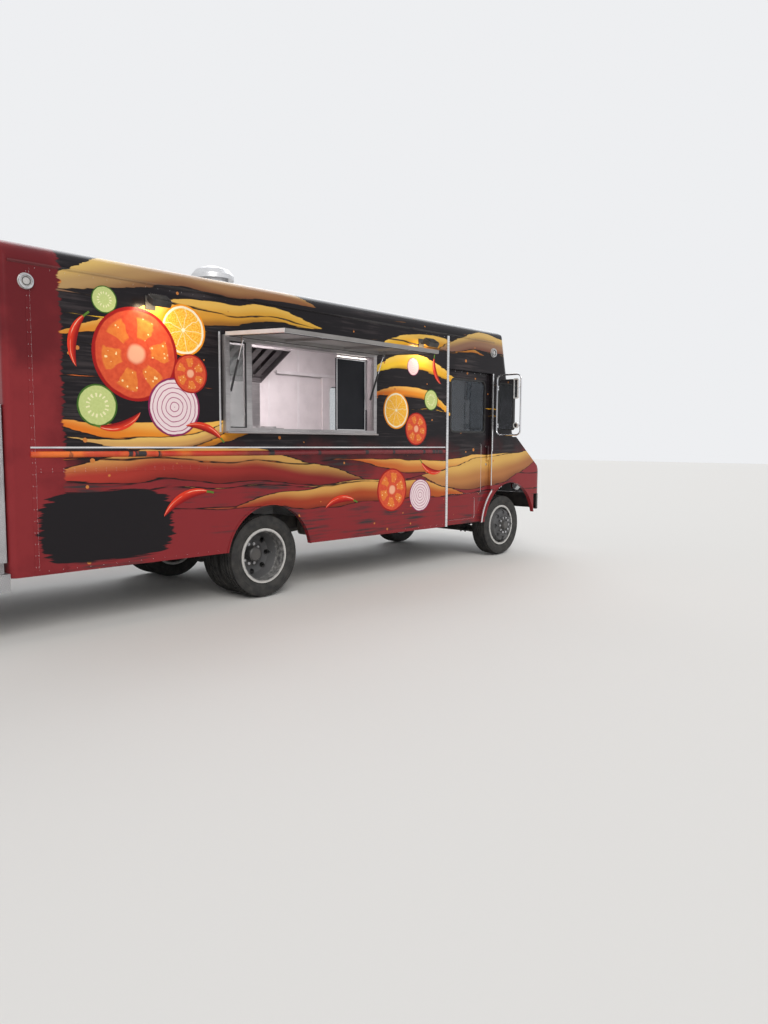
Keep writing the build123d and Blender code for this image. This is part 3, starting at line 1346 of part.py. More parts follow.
griddle = make_cooker(griddle_x, 5)
griddle -= block(
    (griddle_x[0] + 30, griddle_x[1] - 30), (face_y + 90, wall_y - 60), (line_z[1] - 15, line_z[1] + 1),
)
griddle -= block(
    (griddle_x[0] + 60, griddle_x[1] - 60), (face_y + 50, face_y + 80), (line_z[1] - 60, line_z[1] + 1),
)
fryer = make_cooker(fryer_x, 2)
well = (fryer_length - 3 * 60) / 2
for i in range(2):
    well_x = (fryer_x[0] + 60 + i * (well + 60), fryer_x[0] + (i + 1) * (well + 60))
    fryer -= along_z(rounded_face(well_x, (face_y + 90, wall_y - 90), 30), (line_z[1] - 150, line_z[1] + 1))
burner_range = make_cooker(range_x, 4)
for i in (-1, 1):
    for j in (-1, 1):
        centre = (sum(range_x) / 2 + i * range_length / 4, (face_y + wall_y) / 2 + 10 + j * 115)
        grate = barrel(*centre, (line_z[1], line_z[1] + 18), 95) - barrel(
            *centre, (line_z[1] - 1, line_z[1] + 19), 80,
        )
        for turn in (0, 90):
            grate += Pos(*centre, line_z[1] + 12) * Rot(0, 0, turn) * Box(170, 10, 12)
        burner_range += grate + barrel(*centre, (line_z[1] - 1, line_z[1] + 10), 30)
splash = block(
    (griddle_x[0], range_x[1]), (wall_y - 30, wall_y), (line_z[0], floor_top_z + hood_heel_rise - 5),
)
table_x = (griddle_x[0] - table_gap - table_length, griddle_x[0] - table_gap)
table_y = (wall_y - table_depth, wall_y)
table_top = floor_top_z + table_rise
basin_x = (table_x[0] + 90, table_x[0] + 90 + basin_length)
basin_y = (table_y[0] + 110, table_y[1] - 150)
table = block(table_x, table_y, (table_top - 40, table_top))
table = fillet(table.edges().filter_by(Axis.X).sort_by(Axis.Y)[:2], 12)
table += along_z(rounded_face(basin_x, basin_y, 50), (table_top - basin_depth, table_top))
bowl_x, bowl_y = (basin_x[0] + 8, basin_x[1] - 8), (basin_y[0] + 8, basin_y[1] - 8)
table -= along_z(rounded_face(bowl_x, bowl_y, 42), (table_top - basin_depth + 8, table_top + 1))
for x in (table_x[0] + 20, table_x[1] - 60):
    for y in (table_y[0] + 20, table_y[1] - 60):
        table += block((x, x + 40), (y, y + 40), (floor_top_z, table_top - 39))
table_shelf_z = (floor_top_z + 250, floor_top_z + 270)
table += block((table_x[0] + 21, table_x[1] - 21), (table_y[0] + 21, table_y[1] - 21), table_shelf_z)
tap = (sum(basin_x) / 2, basin_y[1] + 50)
table += bent_tube(
    [
        (*tap, table_top - 2),
        (*tap, table_top + tap_height),
        (tap[0], tap[1] - tap_reach, table_top + tap_height),
        (tap[0], tap[1] - tap_reach, table_top + tap_height - 50),
    ],
    30,
    11,
)
shelf_x = (table_x[0] + 30, table_x[1] - 30)
wall_shelf_z = (table_top + wall_shelf_rise, table_top + wall_shelf_rise + 16)
shelf = block(shelf_x, (wall_y - wall_shelf_depth, wall_y), wall_shelf_z)
shelf += block(shelf_x, (wall_y - 8, wall_y), (wall_shelf_z[0] - 80, wall_shelf_z[0] + 1))
cookers = [p - over_wheel_left for p in (griddle, fryer, burner_range, splash)]
parts["cook_line"] = solids(*cookers, table, shelf)

# Range hood: a folded canopy that rises to its lip, with its collar, two rails and loose baffles.
hood_heel_z = floor_top_z + hood_heel_rise
hood_lip_z = floor_top_z + hood_lip_rise
hood_top = roof_z - roof_skin - 20
hood_x = (griddle_x[0] - hood_past, range_x[1] + hood_past)
hood_slope = (hood_lip_z - hood_heel_z) / hood_depth


def under_hood(y, up):
    """A point of the hood's sloped mouth, at one distance across and so far above it."""
    return (y, hood_heel_z + (wall_y - y) * hood_slope + up)


hood_outline = polygon(
    (wall_y, hood_heel_z),
    (wall_y, roof_z - shoulder_radius - 5),
    (inner_y - 90, hood_top),
    (hood_front_y, hood_top),
    (hood_front_y, hood_lip_z),
)
inside_x = (hood_x[0] + hood_gauge, hood_x[1] - hood_gauge)
canopy = along_x(hood_outline, hood_x) - along_x(offset(hood_outline, -hood_gauge), inside_x)


def mouth_band(y, up, x):
    """A flat strip of the hood's mouth between two distances across and two heights above it."""
    corners = (
        under_hood(y[0], up[0]), under_hood(y[1], up[0]), under_hood(y[1], up[1]),
        under_hood(y[0], up[1]),
    )
    return along_x(polygon(*corners), x)


canopy -= mouth_band((wall_y - hood_gauge, hood_front_y + hood_gauge), (-30, 30), inside_x)
canopy += block(
    (fan_place[0] - fan_duct / 2, fan_place[0] + fan_duct / 2),
    (fan_place[1] - fan_duct / 2, fan_place[1] + fan_duct / 2),
    (hood_top - 1, roof_z - roof_skin),
)
baffle_pitch = (inside_x[1] - inside_x[0]) / baffles
baffle_rest = baffle_rail_lift + baffle_gauge
mouth_pieces = []
for y in (wall_y - 60, hood_front_y + 20):
    mouth_pieces.append(mouth_band((y, y + 40), (baffle_rail_lift, baffle_rest), inside_x))
for i in range(baffles):
    middle = inside_x[0] + (i + 0.5) * baffle_pitch
    baffle = mouth_band(
        (hood_front_y + 30, wall_y - 30), (baffle_rest, baffle_rest + baffle_gauge),
        (middle - baffle_pitch * 0.3, middle + baffle_pitch * 0.3),
    )
    mouth_pieces.append(baffle)
parts["range_hood"] = solids(canopy, *mouth_pieces)

# Refrigerator: a closed cabinet with two doors, on short legs in the kerb-side corner.
fridge_x = (rear_x + wall + 50, rear_x + wall + 50 + fridge_length)
fridge_y = (back_y, back_y + fridge_depth)
fridge_z = (floor_top_z + 60, floor_top_z + 60 + fridge_height)
fridge = block(fridge_x, fridge_y, fridge_z)
fridge = fillet(fridge.edges().filter_by(Axis.Z), 14)
parting = fridge_z[0] + 780
fridge -= block(
    (fridge_x[0] - 1, fridge_x[1] + 1), (fridge_y[1] - 4, fridge_y[1] + 1), (parting - 4, parting + 4),
)
for low, high in ((parting - 420, parting - 80), (parting + 80, parting + 480)):
    grip_x = fridge_x[1] - 60
    fridge += bent_tube(
        [
            (grip_x, fridge_y[1] - 1, low), (grip_x, fridge_y[1] + 36, low),
            (grip_x, fridge_y[1] + 36, high), (grip_x, fridge_y[1] - 1, high),
        ], 14, 8
    )
for x in (fridge_x[0] + 50, fridge_x[1] - 50):
    for y in (fridge_y[0] + 60, fridge_y[1] - 60):
        fridge += barrel(x, y, (floor_top_z, fridge_z[0] + 1), 22)
parts["refrigerator"] = fridge

# Cab: dash with its cowl, steering wheel on its column, driver's seat on a pedestal.
dash_x = toe_x - sheet - 2
dash_face = polygon(
    (dash_x, cover_top + 15), (dash_x, cowl_z - 30), (dash_x - 180, cowl_z - 30), (dash_x - 270, cowl_z - 90),
    (dash_x - 235, cowl_z - 250), (dash_x - 140, cover_top + 15),
)
dash_face = fillet([p for p in dash_face.vertices() if p.X < dash_x - 100], 30)
dash = along_y(dash_face, (-inner_y + 60, inner_y - 60))
column_top = Vector(toe_x - 440, seat_y, floor_top_z + steering_rise)
column_foot = Vector(toe_x - 80, seat_y, floor_top_z + 180)
wheel_plane = Plane(origin=column_top, z_dir=column_top - column_foot)
steering = wheel_plane * (Torus(steering_radius, 14) + Cylinder(45, 30))
for turn in (0, 120, 240):
    steering += wheel_plane * (Rot(0, 0, turn + 90) * Pos(115, 0, 0) * Box(180, 26, 10))
steering += rod(tuple(column_foot), tuple(column_top), 22)
tube_hole = rod(tuple(column_foot), tuple(column_top), 23)
parts["dash"] = dash - tube_hole
parts["steering_wheel"] = steering

seat_x = (toe_x - seat_setback - seat_length, toe_x - seat_setback)
cushion_y = (seat_y - seat_width / 2, seat_y + seat_width / 2)
base_z = floor_top_z + seat_rise
pan = fillet(block(seat_x, cushion_y, (base_z, base_z + cushion_height)).edges(), 25)
back_z = (base_z + cushion_height + 2, base_z + cushion_height + backrest_height)
back_face = polygon(
    (seat_x[0] - 60, back_z[0]), (seat_x[0] + 50, back_z[0]), (seat_x[0], back_z[1]),
    (seat_x[0] - 100, back_z[1]),
)
backrest = fillet(along_y(back_face, (cushion_y[0] + 5, cushion_y[1] - 5)).edges(), 24)
parts["seat_cushions"] = solids(pan, backrest)
pedestal = loft([
    Pos(sum(seat_x) / 2, seat_y, floor_top_z + 20) * Rectangle(340, 280),
    Pos(sum(seat_x) / 2, seat_y, base_z - 30) * Rectangle(240, 180),
])
pedestal += block(
    (seat_x[0] + 30, seat_x[1] - 30), (cushion_y[0] + 30, cushion_y[1] - 30),
    (floor_top_z, floor_top_z + 20),
)
pedestal += block(
    (seat_x[0] - 20, seat_x[1] - 20), (cushion_y[0] + 15, cushion_y[1] - 15), (base_z - 30, base_z),
)
spine = block((seat_x[0] - 90, seat_x[0] - 70), (seat_y - 75, seat_y + 75), (base_z - 30, base_z + 60))
spine += block((seat_x[0] - 90, seat_x[0] - 19), (seat_y - 75, seat_y + 75), (base_z - 30, base_z - 10))
parts["seat_base"] = pedestal + spine

# The footprint runs from locker to bumper and from the open hatch's edge to the far mirror.
foot_x = (plate_x[0] - tail_lamp_height, bumper_front_x)
foot_y = (hatch_point(hatch_reach, -hatch_thickness)[0], mirror_y[1] + mirror_tube)
to_footprint = Pos(-sum(foot_x) / 2, -sum(foot_y) / 2, 0)
os.makedirs("parts", exist_ok=True)
for name, shape in parts.items():
    export_step(to_footprint * Compound(shape.solids()), f"parts/{name}.step")
print("middle of the footprint", [round(sum(p) / 2, 4) for p in (foot_x, foot_y)])
print("hatch hinge", hatch_axis_y, hatch_axis_z, "strut foot", strut_foot_y, strut_foot_z)
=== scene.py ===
from math import copysign, cos, pi, radians, sin

import bmesh
import bpy
from mathutils import Matrix, Vector
from mathutils.bvhtree import BVHTree


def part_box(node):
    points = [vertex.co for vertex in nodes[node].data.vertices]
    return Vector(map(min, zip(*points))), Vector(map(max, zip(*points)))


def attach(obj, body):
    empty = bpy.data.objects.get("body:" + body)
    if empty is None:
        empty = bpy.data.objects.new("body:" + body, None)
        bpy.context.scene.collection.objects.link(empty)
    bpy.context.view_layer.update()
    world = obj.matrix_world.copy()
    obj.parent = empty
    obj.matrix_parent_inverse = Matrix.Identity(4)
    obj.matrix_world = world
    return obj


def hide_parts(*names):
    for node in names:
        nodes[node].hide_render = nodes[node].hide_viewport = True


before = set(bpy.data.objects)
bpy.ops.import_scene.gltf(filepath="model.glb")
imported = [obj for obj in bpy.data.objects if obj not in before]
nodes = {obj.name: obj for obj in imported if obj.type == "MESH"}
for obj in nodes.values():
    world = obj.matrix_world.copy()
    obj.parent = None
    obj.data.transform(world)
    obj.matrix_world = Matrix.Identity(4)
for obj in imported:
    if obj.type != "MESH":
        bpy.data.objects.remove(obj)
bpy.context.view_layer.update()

# Datum, camera, floor and light. Lengths run forward from the rear axle line, widths from the
# middle of the body and heights from the ground. A pale studio floor lies under a plain soft
# sky, with two broad suns outside and two soft lamps at the kitchen's ceiling.
rear_hub = (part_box("rear_tyres_right")[0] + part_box("rear_tyres_right")[1]) / 2
front_hub = (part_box("front_tyre_right")[0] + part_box("front_tyre_right")[1]) / 2
middle_y = (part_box("cab_front")[0].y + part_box("cab_front")[1].y) / 2
half_width = (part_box("cab_front")[1].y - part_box("cab_front")[0].y) / 2
kerb, driver = -1, 1
sides = ((kerb, "right"), (driver, "left"))
camera_place, lens_mm, film_mm = (-4.533, -6.877, 1.494), 26.79, 36
camera_yaw, camera_pitch, camera_roll = radians(43.23), radians(-5.14), radians(0.27)
floor_reach, floor_drop, floor_tone = 60, 0.002, (0.78, 0.77, 0.75, 1)
sky_tone, sky_light, sky_seen = (0.97, 0.98, 1.0, 1), 0.48, 0.40


def at(x, y, z):
    """A point of the truck, in the frame's own metres."""
    return Vector((x + rear_hub.x, y + middle_y, z))


camera_data = bpy.data.cameras.new("camera")
camera_data.lens = lens_mm
camera_data.sensor_width = film_mm
camera = bpy.data.objects.new("camera", camera_data)
bpy.context.collection.objects.link(camera)
looks_along = Vector(
    (cos(camera_pitch) * cos(camera_yaw), cos(camera_pitch) * sin(camera_yaw), sin(camera_pitch))
)
turn = looks_along.to_track_quat("-Z", "Y").to_matrix().to_4x4()
stand = Matrix.Translation(at(*camera_place))
camera.matrix_world = stand @ turn @ Matrix.Rotation(camera_roll, 4, "Z")
bpy.context.scene.camera = camera
bpy.context.scene.view_settings.view_transform = "Standard"


def new_finish(name):
    """A node material and its shader."""
    finish = bpy.data.materials.new(name)
    finish.use_nodes = True
    return finish, finish.node_tree, finish.node_tree.nodes["Principled BSDF"]


def add(tree, kind, **values):
    """A new node with its settings."""
    node = tree.nodes.new(kind)
    for key, value in values.items():
        setattr(node, key, value)
    return node


def work(tree, operation, *values):
    """A Math node's result; a value may be a number or another node's output."""
    node = add(tree, "ShaderNodeMath", operation=operation)
    for socket, value in zip(node.inputs, values):
        if isinstance(value, (int, float)):
            socket.default_value = value
        else:
            tree.links.new(value, socket)
    return node.outputs[0]


floor_mesh = bmesh.new()
bmesh.ops.create_grid(floor_mesh, x_segments=1, y_segments=1, size=floor_reach)
floor_data = bpy.data.meshes.new("studio_floor")
floor_mesh.to_mesh(floor_data)
studio_floor = bpy.data.objects.new("studio_floor", floor_data)
bpy.context.collection.objects.link(studio_floor)
studio_floor.location.z = -floor_drop
floor_finish, tree, shader = new_finish("studio floor")
shader.inputs["Base Color"].default_value = floor_tone
shader.inputs["Roughness"].default_value = 0.9
floor_data.materials.append(floor_finish)

sky = bpy.data.worlds.new("soft sky")
bpy.context.scene.world = sky
sky.use_nodes = True
tree = sky.node_tree
background = tree.nodes["Background"]
path = add(tree, "ShaderNodeLightPath")
seen = work(tree, "MAXIMUM", path.outputs["Is Camera Ray"], path.outputs["Is Transmission Ray"])
seen = work(tree, "MAXIMUM", seen, path.outputs["Is Glossy Ray"])
strength = work(tree, "MULTIPLY_ADD", seen, sky_seen, sky_light)
background.inputs["Color"].default_value = sky_tone
tree.links.new(strength, background.inputs["Strength"])

lamp_table = (
    # name, kind, where it stands, what it shines at, size, strength, tint
    ("key", "SUN", (-6.2, -10.0, 8.0), (0.0, 0.0, 0.0), radians(35), 1.75, (1.0, 0.975, 0.94)),
    ("second", "SUN", (9.0, 7.5, 9.0), (0.0, 0.0, 0.0), radians(45), 0.95, (0.95, 0.97, 1.0)),
    ("kitchen rear", "AREA", (-1.1, 0.0, 2.84), (-1.1, 0.2, 0.8), 1.0, 42, (1.0, 0.88, 0.91)),
    ("kitchen front", "AREA", (1.3, -0.1, 2.84), (1.3, 0.1, 0.8), 1.0, 42, (1.0, 0.88, 0.91)),
)
for name, kind, place, target, size, power, tint in lamp_table:
    lamp_data = bpy.data.lights.new(name, kind)
    if kind == "SUN":
        lamp_data.angle = size
    else:
        lamp_data.size = size
    lamp_data.energy = power
    lamp_data.color = tint
    lamp = bpy.data.objects.new(name, lamp_data)
    lamp.location = at(*place)
    lamp.rotation_euler = (at(*target) - at(*place)).to_track_quat("-Z", "Y").to_euler()
    bpy.context.collection.objects.link(lamp)


# Chassis. Black chassis paint on rolled and forged steel, dulled by road dust, with paler
# steel on the exhaust and tank. Forged U-bolts clamp each leaf pack to its axle.
def steel_finish(name, dark, light, rough, grain=14.0, bump=0.15, metal=0.0):
    """Two mottled tones of one colour, with an uneven gloss and a fine grain."""
    finish, tree, shader = new_finish(name)
    place = add(tree, "ShaderNodeTexCoord").outputs["Object"]
    mottle = add(tree, "ShaderNodeTexNoise")
    mottle.inputs["Scale"].default_value = grain
    mottle.inputs["Detail"].default_value = 6
    tree.links.new(place, mottle.inputs["Vector"])
    tones = add(tree, "ShaderNodeValToRGB")
    tones.color_ramp.elements[0].position = 0.35
    tones.color_ramp.elements[1].position = 0.68
    tones.color_ramp.elements[0].color = (*dark, 1)
    tones.color_ramp.elements[1].color = (*light, 1)
    tree.links.new(mottle.outputs["Fac"], tones.inputs["Fac"])
    tree.links.new(tones.outputs["Color"], shader.inputs["Base Color"])
    gloss = add(tree, "ShaderNodeMapRange")
    gloss.inputs["To Min"].default_value = rough[0]
    gloss.inputs["To Max"].default_value = rough[1]
    tree.links.new(mottle.outputs["Fac"], gloss.inputs["Value"])
    tree.links.new(gloss.outputs["Result"], shader.inputs["Roughness"])
    grit = add(tree, "ShaderNodeTexNoise")
    grit.inputs["Scale"].default_value = grain * 22
    grit.inputs["Detail"].default_value = 3
    tree.links.new(place, grit.inputs["Vector"])
    relief = add(tree, "ShaderNodeBump")
    relief.inputs["Strength"].default_value = bump
    relief.inputs["Distance"].default_value = 0.002
    tree.links.new(grit.outputs["Fac"], relief.inputs["Height"])
    tree.links.new(relief.outputs["Normal"], shader.inputs["Normal"])
    shader.inputs["Metallic"].default_value = metal
    return finish


def coat(finish, *names):
    """Gives CAD pieces their finish."""
    for name in names:
        nodes[name].data.materials.clear()
        nodes[name].data.materials.append(finish)


def new_piece(name, mesh, finish, body, smooth=True):
    """Turns a finished bmesh of closed shells into a piece that rides on a body."""
    bmesh.ops.recalc_face_normals(mesh, faces=mesh.faces)
    data = bpy.data.meshes.new(name)
    mesh.to_mesh(data)
    mesh.free()
    data.materials.append(finish)
    if smooth:
        data.shade_smooth()
        data.set_sharp_from_angle(angle=radians(35))
    piece = bpy.data.objects.new(name, data)
    bpy.context.collection.objects.link(piece)
    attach(piece, body)
    return piece


def facing(place, outward, up=(0, 0, 1)):
    """Stands a flat piece at a point of the truck, its own Z outward and its Y up."""
    z = Vector(outward).normalized()
    x = Vector(up).cross(z).normalized()
    turn = Matrix((x, z.cross(x), z)).transposed().to_4x4()
    return Matrix.Translation(at(*place)) @ turn


def add_block(mesh, low, high, rounding=0.0, stand=None):
    """A block between two corners, its edges rounded."""
    size, middle = Vector(high) - Vector(low), (Vector(high) + Vector(low)) / 2
    where = stand @ Matrix.Translation(middle) if stand else Matrix.Translation(at(*middle))
    made = bmesh.ops.create_cube(mesh, size=1, matrix=where @ Matrix.Diagonal((*size, 1)))
    if rounding:
        edges = list({e for v in made["verts"] for e in v.link_edges})
        bmesh.ops.bevel(
            mesh, geom=edges, offset=rounding, offset_type="OFFSET", segments=2, profile=0.5,
            affect="EDGES", clamp_overlap=True, material=-1,
        )


def add_slug(mesh, stand, radius, depth, top=None, sides=24, rounding=0.0):
    """A round slug that rises from its stand, its far rim rounded."""
    lift = stand @ Matrix.Translation((0, 0, depth / 2))
    made = bmesh.ops.create_cone(
        mesh, cap_ends=True, segments=sides, radius1=radius, radius2=radius if top is None else top,
        depth=depth, matrix=lift,
    )
    if rounding:
        face = max({f for v in made["verts"] for f in v.link_faces if len(f.verts) == sides},
                   key=lambda f: (stand.inverted() @ f.calc_center_median()).z)
        bmesh.ops.bevel(
            mesh, geom=list(face.edges), offset=rounding, offset_type="OFFSET", segments=2, profile=0.5,
            affect="EDGES", clamp_overlap=True, material=-1,
        )


def add_tube(mesh, points, radius, bend=0.0, sides=10, bend_steps=5):
    """A round bar along a run of points, with rounded bends and closed ends."""
    corners = [at(*p) for p in points]
    spots = [corners[0]]
    for before, corner, after in zip(corners, corners[1:], corners[2:]):
        if bend:
            start = corner + (before - corner).normalized() * bend
            end = corner + (after - corner).normalized() * bend
            for i in range(bend_steps + 1):
                t = i / bend_steps
                spots.append(start * (1 - t) ** 2 + corner * 2 * t * (1 - t) + end * t ** 2)
        else:
            spots.append(corner)
    spots.append(corners[-1])
    heading = (spots[1] - spots[0]).normalized()
    turn = heading.to_track_quat("Z", "Y")
    stand = Matrix.Translation(spots[0]) @ turn.to_matrix().to_4x4()
    ring = bmesh.ops.create_circle(
        mesh, cap_ends=True, radius=radius, segments=sides, matrix=stand,
    )["verts"]
    edges = list({e for v in ring for e in v.link_edges})
    for i, spot in enumerate(spots[1:], 1):
        onward = (spots[min(i + 1, len(spots) - 1)] - spots[i - 1]).normalized()
        if i == len(spots) - 1:
            onward = (spot - spots[i - 1]).normalized()
        turn = heading.rotation_difference(onward) @ turn
        moved = Matrix.Translation(spot) @ turn.to_matrix().to_4x4()
        grown = bmesh.ops.extrude_edge_only(mesh, edges=edges)["geom"]
        ring = [g for g in grown if isinstance(g, bmesh.types.BMVert)]
        edges = [g for g in grown if isinstance(g, bmesh.types.BMEdge)]
        edges = [edge for edge in edges if all(v in ring for v in edge.verts)]
        bmesh.ops.transform(mesh, matrix=moved @ stand.inverted(), verts=ring)
        stand, heading = moved, onward
    bmesh.ops.contextual_create(mesh, geom=edges)


chassis_black = steel_finish(
    "chassis black", (0.016, 0.016, 0.017), (0.075, 0.068, 0.06), (0.45, 0.75), grain=9.0
)
cast_iron = steel_finish(
    "cast iron", (0.06, 0.058, 0.055), (0.12, 0.11, 0.10), (0.6, 0.85), grain=20.0, bump=0.4
)
hot_steel = steel_finish(
    "aluminised steel", (0.30, 0.26, 0.22), (0.50, 0.46, 0.42), (0.35, 0.6), grain=12.0, metal=0.9
)
bright_steel = steel_finish(
    "plated steel", (0.42, 0.42, 0.43), (0.66, 0.66, 0.67), (0.22, 0.4), grain=18.0, bump=0.08, metal=1.0
)
coat(chassis_black, "frame_rails", "front_axle", "rear_axle", "leaf_springs", "knuckle_right")
coat(chassis_black, "knuckle_left", "track_rod", "drive_shaft", "front_bumper", "seat_base")
coat(cast_iron, "engine")
coat(hot_steel, "exhaust", "fuel_tank")

clamp_table = (
    # axle line, spring's distance off the middle, half the clamp's length, its foot, its crown
    (front_hub.x - rear_hub.x, 0.398, 0.050, 0.268, 0.404),
    (0.0, 0.490, 0.080, 0.326, 0.522),
)
rod_radius, rod_bend, leg_gap = 0.007, 0.014, 0.037
clamp_nut, clamp_nut_height, nut_lift = 0.0125, 0.012, 0.004
saddle_reach, saddle_half, saddle_foot, saddle_top, saddle_round = 0.02, 0.05, 0.016, 0.026, 0.002
clamps = bmesh.new()
for side, name in sides:
    for hub_x, spring_y, reach, foot, crown in clamp_table:
        for end in (-1, 1):
            x = hub_x + end * reach
            legs = [(x, side * (spring_y - leg_gap), foot), (x, side * (spring_y - leg_gap), crown)]
            legs += [(x, side * (spring_y + leg_gap), crown), (x, side * (spring_y + leg_gap), foot)]
            add_tube(clamps, legs, rod_radius, bend=rod_bend, sides=8)
            for across in (-leg_gap, leg_gap):
                seat = (x, side * (spring_y + across), foot + nut_lift)
                add_slug(clamps, facing(seat, (0, 0, 1), (0, 1, 0)), clamp_nut, clamp_nut_height, sides=6)
        y = sorted((side * (spring_y - saddle_half), side * (spring_y + saddle_half)))
        low = (hub_x - reach - saddle_reach, y[0], foot + saddle_foot)
        high = (hub_x + reach + saddle_reach, y[1], foot + saddle_top)
        add_block(clamps, low, high, saddle_round)
new_piece("spring_clamps", clamps, chassis_black, "truck")

# Tyres. Black rubber truck tyres, all of one size, with straight ribs in the middle, open
# blocks at the shoulders, and plain raised rings on the side walls.
tyre_radius = (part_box("front_tyre_right")[1].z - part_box("front_tyre_right")[0].z) / 2
tread_half, tread_steps, twin_shift = 0.098, 84, 0.132
tread_base, groove_depth = tyre_radius - 0.009, 0.010
block_draft, block_height = 0.0022, 0.0075
# From the middle outwards: a centre rib, a rib on each side of it, and the shoulder blocks.
rib_bands = ((-1, 0.019), (0.031, 0.057), (0.072, tread_half))
rubber = steel_finish(
    "tyre rubber", (0.012, 0.012, 0.012), (0.042, 0.04, 0.037), (0.6, 0.9), grain=16.0, bump=0.35
)
section = (
    # across the tyre, out from the axle line: bead, side wall with its ring, shoulder, two grooves
    (-0.076, 0.2495), (-0.086, 0.269), (-0.104, 0.289), (-0.1105, 0.310), (-0.1118, 0.330),
    (-0.1095, 0.333), (-0.1110, 0.345), (-0.1090, 0.362), (-0.1055, 0.378),
    (-tread_half, tread_base - 0.006), (-0.070, tread_base - 0.001),
    (-0.064, tread_base - groove_depth), (-0.058, tread_base), (-0.030, tread_base),
    (-0.025, tread_base - groove_depth), (-0.020, tread_base),
)
outline = [*section, *[(-a, r) for a, r in reversed(section)]]


def add_tyre(mesh, hub):
    """One tyre turned about the axle line, each face of its rib bands set in as a hollow."""
    ring = [mesh.verts.new(hub + Vector((0, a, r))) for a, r in outline]
    edges = [mesh.edges.new((ring[i], ring[(i + 1) % len(ring)])) for i in range(len(ring))]
    bmesh.ops.spin(
        mesh, geom=ring + edges, cent=hub, axis=(0, 1, 0), angle=2 * pi, steps=tread_steps,
        use_merge=True,
    )
    blocks = []
    for f in mesh.faces:
        spot = f.calc_center_median() - hub
        out, across = Vector((spot.x, 0, spot.z)).length, abs(spot.y)
        rib = any(low < across < high for low, high in rib_bands)
        if rib and out > tread_base - 0.009:
            blocks.append(f)
    bmesh.ops.inset_individual(mesh, faces=blocks, thickness=block_draft, depth=block_height)


for side, name in sides:
    for end, body in (("front_tyre_", f"front_wheel_{name}"), ("rear_tyres_", f"rear_wheels_{name}")):
        low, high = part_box(end + name)
        mesh = bmesh.new()
        for shift in (0.0,) if end == "front_tyre_" else (-twin_shift, twin_shift):
            one = bmesh.new()
            add_tyre(one, (low + high) / 2 + Vector((0, shift, 0)))
            holder = bpy.data.meshes.new("tyre")
            one.to_mesh(holder)
            one.free()
            mesh.from_mesh(holder)
            bpy.data.meshes.remove(holder)
        tyre = new_piece(f"treaded_{end}{name}", mesh, rubber, body)
        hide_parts(end + name)

# Wheels. Painted steel discs with eight hand holes, held by ten nuts on their studs, with a
# lighter rim flange where tyre irons have rubbed it, and a valve stem through one hand hole.
nut_circle, nut_count, nut_size, nut_height = 0.100, 10, 0.0165, 0.022
stud_size, stud_tip, stud_proud = 0.0075, 0.007, 0.008
valve_reach, valve_depth, valve_size, valve_tip, valve_length = 0.2, 0.03, 0.005, 0.0035, 0.045


def wheel_finish(name, hub):
    """Dark wheel paint inside, a paler rim outside, by the distance from the axle line."""
    finish, tree, shader = new_finish(name)
    place = add(tree, "ShaderNodeTexCoord").outputs["Object"]
    centred = add(tree, "ShaderNodeMapping")
    centred.inputs["Location"].default_value = (-hub.x, 0, -hub.z)
    centred.inputs["Scale"].default_value = (1, 0, 1)
    tree.links.new(place, centred.inputs["Vector"])
    reach = add(tree, "ShaderNodeVectorMath", operation="LENGTH")
    tree.links.new(centred.outputs["Vector"], reach.inputs[0])
    speck = add(tree, "ShaderNodeTexNoise")
    speck.inputs["Scale"].default_value = 30
    speck.inputs["Detail"].default_value = 5
    tree.links.new(place, speck.inputs["Vector"])
    uneven = work(tree, "MULTIPLY_ADD", speck.outputs["Fac"], 0.03, reach.outputs["Value"])
    tones = add(tree, "ShaderNodeValToRGB")
    ramp = tones.color_ramp
    stops = (
        (0.0, (0.09, 0.085, 0.08)), (0.15, (0.05, 0.05, 0.052)), (0.25, (0.09, 0.09, 0.092)),
        (0.268, (0.52, 0.51, 0.49)),
    )
    ramp.elements[0].position, ramp.elements[1].position = stops[0][0], stops[-1][0]
    ramp.elements[0].color, ramp.elements[1].color = (*stops[0][1], 1), (*stops[-1][1], 1)
    for position, colour in stops[1:-1]:
        ramp.elements.new(position).color = (*colour, 1)
    tree.links.new(uneven, tones.inputs["Fac"])
    tree.links.new(tones.outputs["Color"], shader.inputs["Base Color"])
    rough = work(tree, "MULTIPLY_ADD", speck.outputs["Fac"], 0.35, 0.25)
    tree.links.new(rough, shader.inputs["Roughness"])
    return finish


front_paint = wheel_finish("front wheel paint", front_hub)
rear_paint = wheel_finish("rear wheel paint", rear_hub)
for side, name in sides:
    coat(front_paint, f"front_wheel_{name}")
    coat(rear_paint, f"rear_wheels_{name}")
    for body, hub, face, valve_out in (
        # body, axle line, where the nuts seat, how far the valve stands out of it
        (f"front_wheel_{name}", front_hub, 1.037, 0.0), (f"rear_wheels_{name}", rear_hub, 0.805, 0.06),
    ):
        hub_x = hub.x - rear_hub.x
        mesh = bmesh.new()
        for i in range(nut_count):
            angle = 2 * pi * i / nut_count
            spot = (hub_x + nut_circle * cos(angle), side * face, hub.z + nut_circle * sin(angle))
            stand = facing(spot, (0, side, 0))
            add_slug(mesh, stand, nut_size, nut_height, nut_size * 0.94, sides=6)
            add_slug(mesh, stand, stud_size, nut_height + stud_proud, stud_tip, sides=10)
        valve = (hub_x + valve_reach, side * (face - valve_depth + valve_out), hub.z)
        add_slug(mesh, facing(valve, (0, side, 0)), valve_size, valve_length, valve_tip, sides=10)
        new_piece(f"wheel_nuts_{body}", mesh, bright_steel, body, smooth=False)

